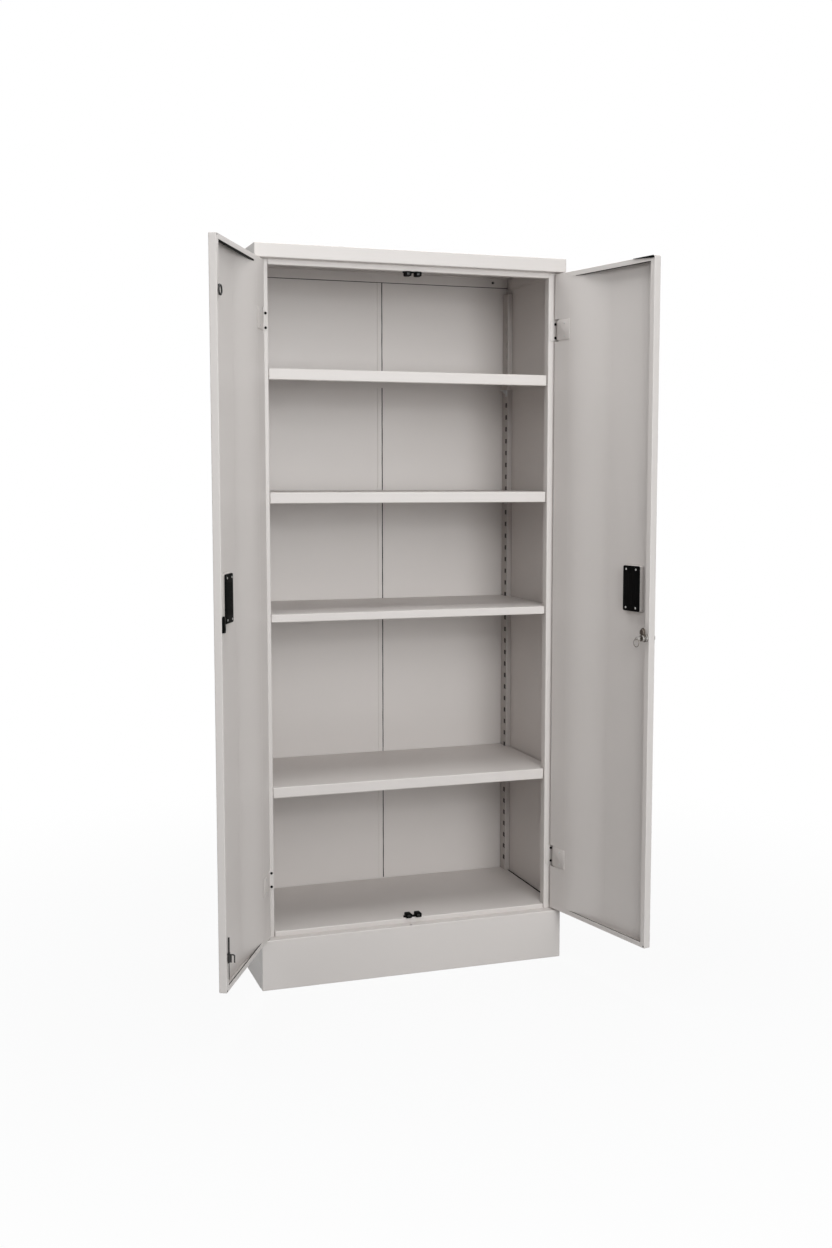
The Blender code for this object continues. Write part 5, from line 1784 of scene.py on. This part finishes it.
@dataclass
class Bolts:
    """The left door's two bolts, its keeper and their screws."""

    door: Door
    from_free: float = 0.0095
    axis_depth: float = 0.0105
    radius: float = 0.0030
    length: float = 0.130
    tip_setback: float = 0.0025
    pull_distances: tuple[float, float] = (0.108, 0.086)
    plane_gap: float = 0.0012
    stem: float = 0.0020
    ring: tuple[float, float, float] = (0.0103, 0.0020, 0.0040)
    hoop: tuple[float, float, float, float] = (0.0050, 0.0162, 0.0195, 0.0030)
    grip: tuple[float, float, float, float] = (0.0080, 0.0040, 0.0045, 0.0235)
    spindle_off: float = 0.0020
    spindle_rise: float = 0.0350
    link_drop: float = 0.0380
    keeper_level: float = 0.950
    keeper_size: tuple[float, float, float] = (0.013, 0.005, 0.036)
    keeper_prong: tuple[float, float] = (0.0042, 0.014)

    def build(self) -> None:
        """Make the bolts and the keeper in place of their CAD nodes."""
        self.build_bolt("top", 1, self.door.top, self.pull_distances[0])
        self.build_bolt("bottom", -1, self.door.bottom, self.pull_distances[1])
        self.build_keeper()

    def build_bolt(self, label: str, way: int, end: float, distance: float) -> None:
        """Make one bolt with its pull.

        Args:
            label: Which bolt.
            way: 1 if it slides up, -1 if down.
            end: Level of the door's end.
            distance: Distance of the stem from that end.
        """
        middle = self.door.local(self.from_free, self.axis_depth)
        tip = end - way * self.tip_setback
        frame = self.door.frame @ Matrix.Translation((middle.x, middle.y, tip))
        plane = self.door.thickness + self.plane_gap - self.axis_depth
        level = end - way * distance - tip
        radius = self.radius
        rod = turned([(radius * 0.45, 0.0), (radius * 0.8, 0.0006), (radius, 0.0020), (radius, self.length - 0.0008),
                      (radius - 0.0008, self.length)], 28)
        rod = moved(rod, Matrix.Rotation(-math.pi / 2 * way, 4, "X"))
        stem = turned([(self.stem, 0.0), (self.stem, plane + 0.0006), (self.stem * 1.5, plane + 0.0008),
                       (self.stem * 1.5, plane + 0.0018)], 20)
        parts = [rod, moved(stem, Matrix.Translation((0.0, 0.0, level)))]
        parts += self.ring_pull(plane, level) if label == "top" else self.hoop_pull(plane, level)
        piece = solid(f"{label}_bolt_and_pull", joined(parts), Coat.BLACK_STEEL, f"{label}_bolt", frame, 35.0)
        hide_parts(f"bolt_{label}")

    def ring_pull(self, plane: float, level: float) -> list[bmesh.types.BMesh]:
        """Return the top bolt's ring and its two swellings.

        Args:
            plane: Depth of the face that the ring lies over.
            level: Height of the stem.

        Returns:
            Closed meshes.
        """
        radius, wire, offset = self.ring
        drop = math.sqrt(radius ** 2 - offset ** 2)
        middle = Vector((-offset, plane + wire, level - drop))
        steps = 48
        path = [middle + Vector((radius * math.cos(2 * math.pi * i / steps), 0.0, radius * math.sin(2 * math.pi * i / steps)))
                for i in range(steps)]
        made = [tube(path, wire * 0.96, 14, closed=True)]
        for sign in (-1, 1):
            bead = turned([(wire * 0.5, -wire * 1.0), (wire * 1.1, -wire * 0.8), (wire * 1.35, 0.0),
                           (wire * 1.1, wire * 0.8), (wire * 0.5, wire * 1.0)], 20)
            made.append(moved(bead, Matrix.Translation(middle + Vector((0.0, 0.0, sign * (radius - wire * 0.35))))))
        return made

    def hoop_pull(self, plane: float, level: float) -> list[bmesh.types.BMesh]:
        """Return the bottom bolt's grip block with its ridges and the hoop that stands out of it.

        Args:
            plane: Depth of the face that the block lies over.
            level: Height of the stem.

        Returns:
            Closed meshes.
        """
        wide, thick, rise, tall = self.grip
        top = level + rise
        made = [box((-wide / 2, plane, top - tall), (wide / 2, plane + thick, top), 0.0009)]
        for number in range(4):
            z = level - 0.0050 - 0.0034 * number
            path = [Vector((x, plane + thick - 0.0002, z)) for x in (-wide * 0.36, 0.0, wide * 0.36)]
            made.append(tube(path, 0.0007, 8))
        spindle = [Vector((0.0, plane + self.spindle_off, top + rise_share * self.spindle_rise))
                   for rise_share in (-0.1, 0.3, 0.7, 1.0)]
        made.append(tube(spindle, 0.0019, 10, taper=0.3))
        link = [Vector((0.0, plane + self.spindle_off, top - tall - share * self.link_drop))
                for share in (-0.05, 0.35, 0.7, 1.0)]
        made.append(tube(link, 0.0009, 10))
        near, far, drop, width = self.hoop
        wire = width / 2
        foot = wire - drop
        bend = 0.0030
        outer = [(thick * 0.5, 0.0), (near, 0.0), (far - wire - bend, 0.0)]
        outer += [(far - wire - bend + bend * math.sin(math.pi / 2 * i / 6), -bend + bend * math.cos(math.pi / 2 * i / 6))
                  for i in range(1, 7)]
        outer += [(far - wire, foot * 0.5), (far - wire, foot)]
        made.append(tube([Vector((0.0, plane + a, level + b)) for a, b in outer], wire, 14, taper=0.5))
        inner = [(near + wire, 0.0), (near + wire, foot * 0.5), (near + wire, foot)]
        made.append(tube([Vector((0.0, plane + a, level + b)) for a, b in inner], wire, 14, taper=0.5))
        return made

    def build_keeper(self) -> None:
        """Make the forked keeper and its two screws."""
        door = self.door
        width, thick, length = self.keeper_size
        prong, prong_length = self.keeper_prong
        x = door.local(0.0075, 0.0).x
        low = door.thickness - door.axis_depth + 0.0003
        half = width / 2
        top = self.keeper_level + length / 2
        bottom = self.keeper_level - length / 2
        fork = bottom + prong_length
        gap = half - prong
        steps = 8
        arch = [(x - gap * math.cos(math.pi * i / steps), fork - gap + gap * math.sin(math.pi * i / steps))
                for i in range(steps + 1)]
        outline = [(x - half, bottom + 0.0012), (x - half + 0.0012, bottom), (x - gap, bottom)] + arch
        outline += [(x + gap, bottom), (x + half - 0.0012, bottom), (x + half, bottom + 0.0012),
                    (x + half, top - prong), (x + half - prong * 0.3, top - prong * 0.3), (x + half - prong, top),
                    (x - half + prong, top), (x - half + prong * 0.3, top - prong * 0.3), (x - half, top - prong)]
        plate = prism(outline, low, low + thick, "Y", 0.0007)
        rail = box((x - half * 0.55, low + thick - 0.0004, fork + 0.0020), (x + half * 0.55, low + thick + 0.0000, top - 0.0140), 0.0)
        door.piece("keeper_plate", joined([plate]), Coat.PLASTIC, "keeper_left")
        rail.free()
        points = [door.spot(x, low + thick, level) for level in (top - 0.0060, fork + 0.0040)]
        CrossScrews().apply("keeper_screws", points, Coat.BLACK_STEEL, door.body, Radius=0.0026, Rim=0.0005,
                            Crown=0.0008, Recess=0.0014)


@dataclass
class TopWedge:
    """The wedge on the inner face of the right door's top lip, with its two drive pins."""

    door: Door
    start: float = 0.004
    length: float = 0.075
    height: float = 0.0060
    tip: float = 0.0006
    thick: float = 0.0020

    def build(self) -> None:
        """Make the wedge in place of its CAD node."""
        door = self.door
        tall = door.local(self.start, 0.0).x
        thin = door.local(self.start + self.length, 0.0).x
        low = door.thickness - door.axis_depth + 0.0003
        share = (0.10, 0.42)
        outline = [(tall, door.top), (thin, door.top), (thin, door.top - self.tip), (tall, door.top - self.height)]
        door.piece("top_wedge", prism(outline, low, low + self.thick, "Y", 0.0002), Coat.PLASTIC, "top_wedge_right")
        points = [door.spot(tall + (thin - tall) * s, low + self.thick, door.top - 0.0021) for s in share]
        DomeRivets().apply("top_wedge_pins", points, Coat.PLASTIC, door.body, Radius=0.0011, Flange=0.0002, Crown=0.0004)


def dress(nodes: dict[str, bpy.types.Object], slots: dict[str, str]) -> None:
    """Give every CAD node the finish of its slot; the uprights take the darker copy of the paint instead, as painted
    shade.

    Args:
        nodes: The CAD nodes by name.
        slots: The record's slot of each node.
    """
    coats = {coat.slot: coat for coat in reversed(Coat)}
    for name, item in nodes.items():
        # The uprights get the darker copy of the paint: painted shade.
        coat = Coat.THIN if name.startswith("upright_") else coats[slots[name]]
        item.data.materials.clear()
        item.data.materials.append(coat.material)
        log.info("dressed %s with %s", name, slots[name])


# Camera and studio


@dataclass
class PhotographCamera:
    """The camera that was fitted to the photograph."""

    position: Point = (-1.112, -3.415, 1.277)
    yaw: float = 19.368
    pitch: float = -5.760
    roll: float = 0.102
    focal_pixels: float = 1439.248
    principal: tuple[float, float] = (448.212, 617.929)
    sensor: float = 36.0

    def place(self) -> None:
        """Make the camera and set it as the scene's."""
        data = bpy.data.cameras.new("photograph_camera")
        data.sensor_width = self.sensor
        data.lens = self.focal_pixels / PHOTO_HEIGHT * self.sensor
        data.shift_x = (PHOTO_WIDTH / 2 - self.principal[0]) / PHOTO_HEIGHT
        data.shift_y = (self.principal[1] - PHOTO_HEIGHT / 2) / PHOTO_HEIGHT
        data.clip_start = 0.05
        data.clip_end = 100.0
        item = bpy.data.objects.new("photograph_camera", data)
        item.matrix_world = self.pose()
        bpy.context.scene.collection.objects.link(item)
        bpy.context.scene.camera = item

    def pose(self) -> Matrix:
        """Return the camera's place and turn."""
        yaw, pitch, roll = (math.radians(angle) for angle in (self.yaw, self.pitch, self.roll))
        ahead = Vector((math.sin(yaw) * math.cos(pitch), math.cos(yaw) * math.cos(pitch), math.sin(pitch)))
        level = Vector((math.cos(yaw), -math.sin(yaw), 0.0))
        upright = level.cross(ahead)
        right = level * math.cos(roll) + upright * math.sin(roll)
        up = upright * math.cos(roll) - level * math.sin(roll)
        turn = Matrix((right, up, -ahead)).transposed().to_4x4()
        return Matrix.Translation(self.position) @ turn


@dataclass
class SoftLamp:
    """One large soft lamp that looks at a point."""

    name: str
    place: Point
    target: Point
    width: float
    height: float
    power: float
    tint: Colour = (0.970, 1.0, 1.012)

    def build(self) -> None:
        """Make the lamp."""
        data = bpy.data.lights.new(self.name, "AREA")
        data.shape = "RECTANGLE"
        data.size = self.width
        data.size_y = self.height
        data.color = self.tint
        data.energy = self.power
        item = bpy.data.objects.new(self.name, data)
        way = Vector(self.target) - Vector(self.place)
        item.matrix_world = Matrix.Translation(self.place) @ way.to_track_quat("-Z", "Y").to_matrix().to_4x4()
        bpy.context.scene.collection.objects.link(item)


@dataclass
class Studio:
    """Plain white floor, even white surroundings and soft lamps."""

    floor_half: float = 30.0
    floor_albedo: float = 0.50
    floor_glow: float = 0.93
    shadow_reach: tuple[float, float] = (0.7, 2.4)
    surround: float = 0.02
    lamps: tuple[SoftLamp, ...] = (
        SoftLamp("ceiling_lamp", (0.0, -0.2, 4.4), (0.0, 0.0, 0.9), 3.0, 3.0, 123.0),
        SoftLamp("ceiling_rear_lamp", (0.0, 1.0, 4.2), (0.0, 0.0, 0.9), 3.0, 1.6, 77.0),
        SoftLamp("front_lamp", (0.6, -4.0, 1.5), (0.0, 0.0, 1.0), 1.6, 1.2, 58.0),
        SoftLamp("eye_lamp", (-0.8, -3.8, 2.3), (0.0, 0.0, 1.0), 1.4, 1.0, 20.0),
        SoftLamp("high_front_lamp", (0.0, -4.6, 3.0), (0.0, 0.0, 1.0), 2.0, 2.0, 62.0),
        SoftLamp("left_lamp", (-3.4, -2.2, 3.4), (0.4, -0.2, 1.0), 1.6, 1.6, 29.0),
    )

    def build(self) -> None:
        """Make the floor, the world and the lamps."""
        self.build_floor()
        self.build_world()
        for lamp in self.lamps:
            lamp.build()

    def build_floor(self) -> None:
        """Make the floor: pale, with a glow for the eye and mirrors that is full beyond the shadow's reach."""
        mesh = bpy.data.meshes.new("studio_floor")
        side = self.floor_half
        mesh.from_pydata([(-side, -side, 0.0), (side, -side, 0.0), (side, side, 0.0), (-side, side, 0.0)], [],
                         [(0, 1, 2, 3)])
        material = bpy.data.materials.new("studio_paper")
        material.use_nodes = True
        graph = Surface(material.node_tree)
        grain = graph.between(graph.noise(300.0, 2.0), self.floor_albedo - 0.01, self.floor_albedo + 0.01)
        tone = graph.add("ShaderNodeCombineColor", None, Red=grain, Green=grain, Blue=grain)
        paper = graph.add("ShaderNodeBsdfDiffuse", None, Color=tone.outputs[0])
        glow = graph.add("ShaderNodeEmission", None, Color=(*WHITE, 1.0), Strength=1.0)
        away = graph.tree.nodes.new("ShaderNodeVectorMath")
        away.operation = "LENGTH"
        graph.feed(away.inputs[0], graph.place)
        near, far = self.shadow_reach
        glow_share = graph.add("ShaderNodeMapRange", {"interpolation_type": "SMOOTHSTEP"}, Value=away.outputs["Value"],
                               From_Min=near, From_Max=far, To_Min=self.floor_glow, To_Max=1.0).outputs["Result"]
        share = graph.calc("MULTIPLY", self.seen(graph), glow_share)
        mixed = graph.add("ShaderNodeMixShader", None, Fac=share)
        graph.feed(mixed.inputs[1], paper.outputs[0])
        graph.feed(mixed.inputs[2], glow.outputs[0])
        graph.add("ShaderNodeOutputMaterial", None, Surface=mixed.outputs[0])
        mesh.materials.append(material)
        floor = bpy.data.objects.new("studio_floor", mesh)
        bpy.context.scene.collection.objects.link(floor)
        floor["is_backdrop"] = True

    def build_world(self) -> None:
        """Make the surroundings: white to the eye and in mirrors, weaker as a light."""
        world = bpy.data.worlds.new("studio_surround")
        bpy.context.scene.world = world
        world.use_nodes = True
        graph = Graph(world.node_tree)
        graph.tree.nodes.clear()
        strength = graph.add("ShaderNodeMapRange", None, Value=self.seen(graph), To_Min=self.surround,
                             To_Max=1.0).outputs["Result"]
        back = graph.add("ShaderNodeBackground", None, Color=(*WHITE, 1.0), Strength=strength)
        graph.add("ShaderNodeOutputWorld", None, Surface=back.outputs[0])

    def seen(self, graph: Graph) -> bpy.types.NodeSocket:
        """Return a socket that is 1 for rays from the eye, a mirror or glass.

        Args:
            graph: The graph that needs it.

        Returns:
            The result's socket.
        """
        path = graph.add("ShaderNodeLightPath")
        total = graph.calc("ADD", path.outputs["Is Camera Ray"], path.outputs["Is Glossy Ray"])
        total = graph.calc("ADD", total, path.outputs["Is Transmission Ray"])
        return graph.calc("MINIMUM", total, 1.0)


def main() -> list[list[float]]:
    """Load the frame and build everything.

    Returns:
        The CAD box's lowest and highest corners.
    """
    logging.basicConfig(level=logging.INFO, format="%(name)s: %(message)s")
    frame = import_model()
    cad_box = [list(corner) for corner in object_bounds()]
    PhotographCamera().place()
    scene = bpy.context.scene
    scene.view_settings.view_transform = "Standard"
    slots = {row["node"]: row["material_slot"] for row in frame["record"]["subparts"]}
    dress(frame["nodes"], slots)
    Case().build(Probe(frame["nodes"]))
    for label, level, up in (("catch_top", 1.7687, -1), ("catch_bottom", 0.1403, 1)):
        Catch(label, level, up).build()
    left = Door(-1, 116.5)
    right = Door(1, 102.0)
    for door in (left, right):
        door.build()
    Bolts(left).build()
    CamLock(right).build()
    TopWedge(right).build()
    Studio().build()
    return cad_box


if __name__ == "__main__":
    CAD_BOX = main()
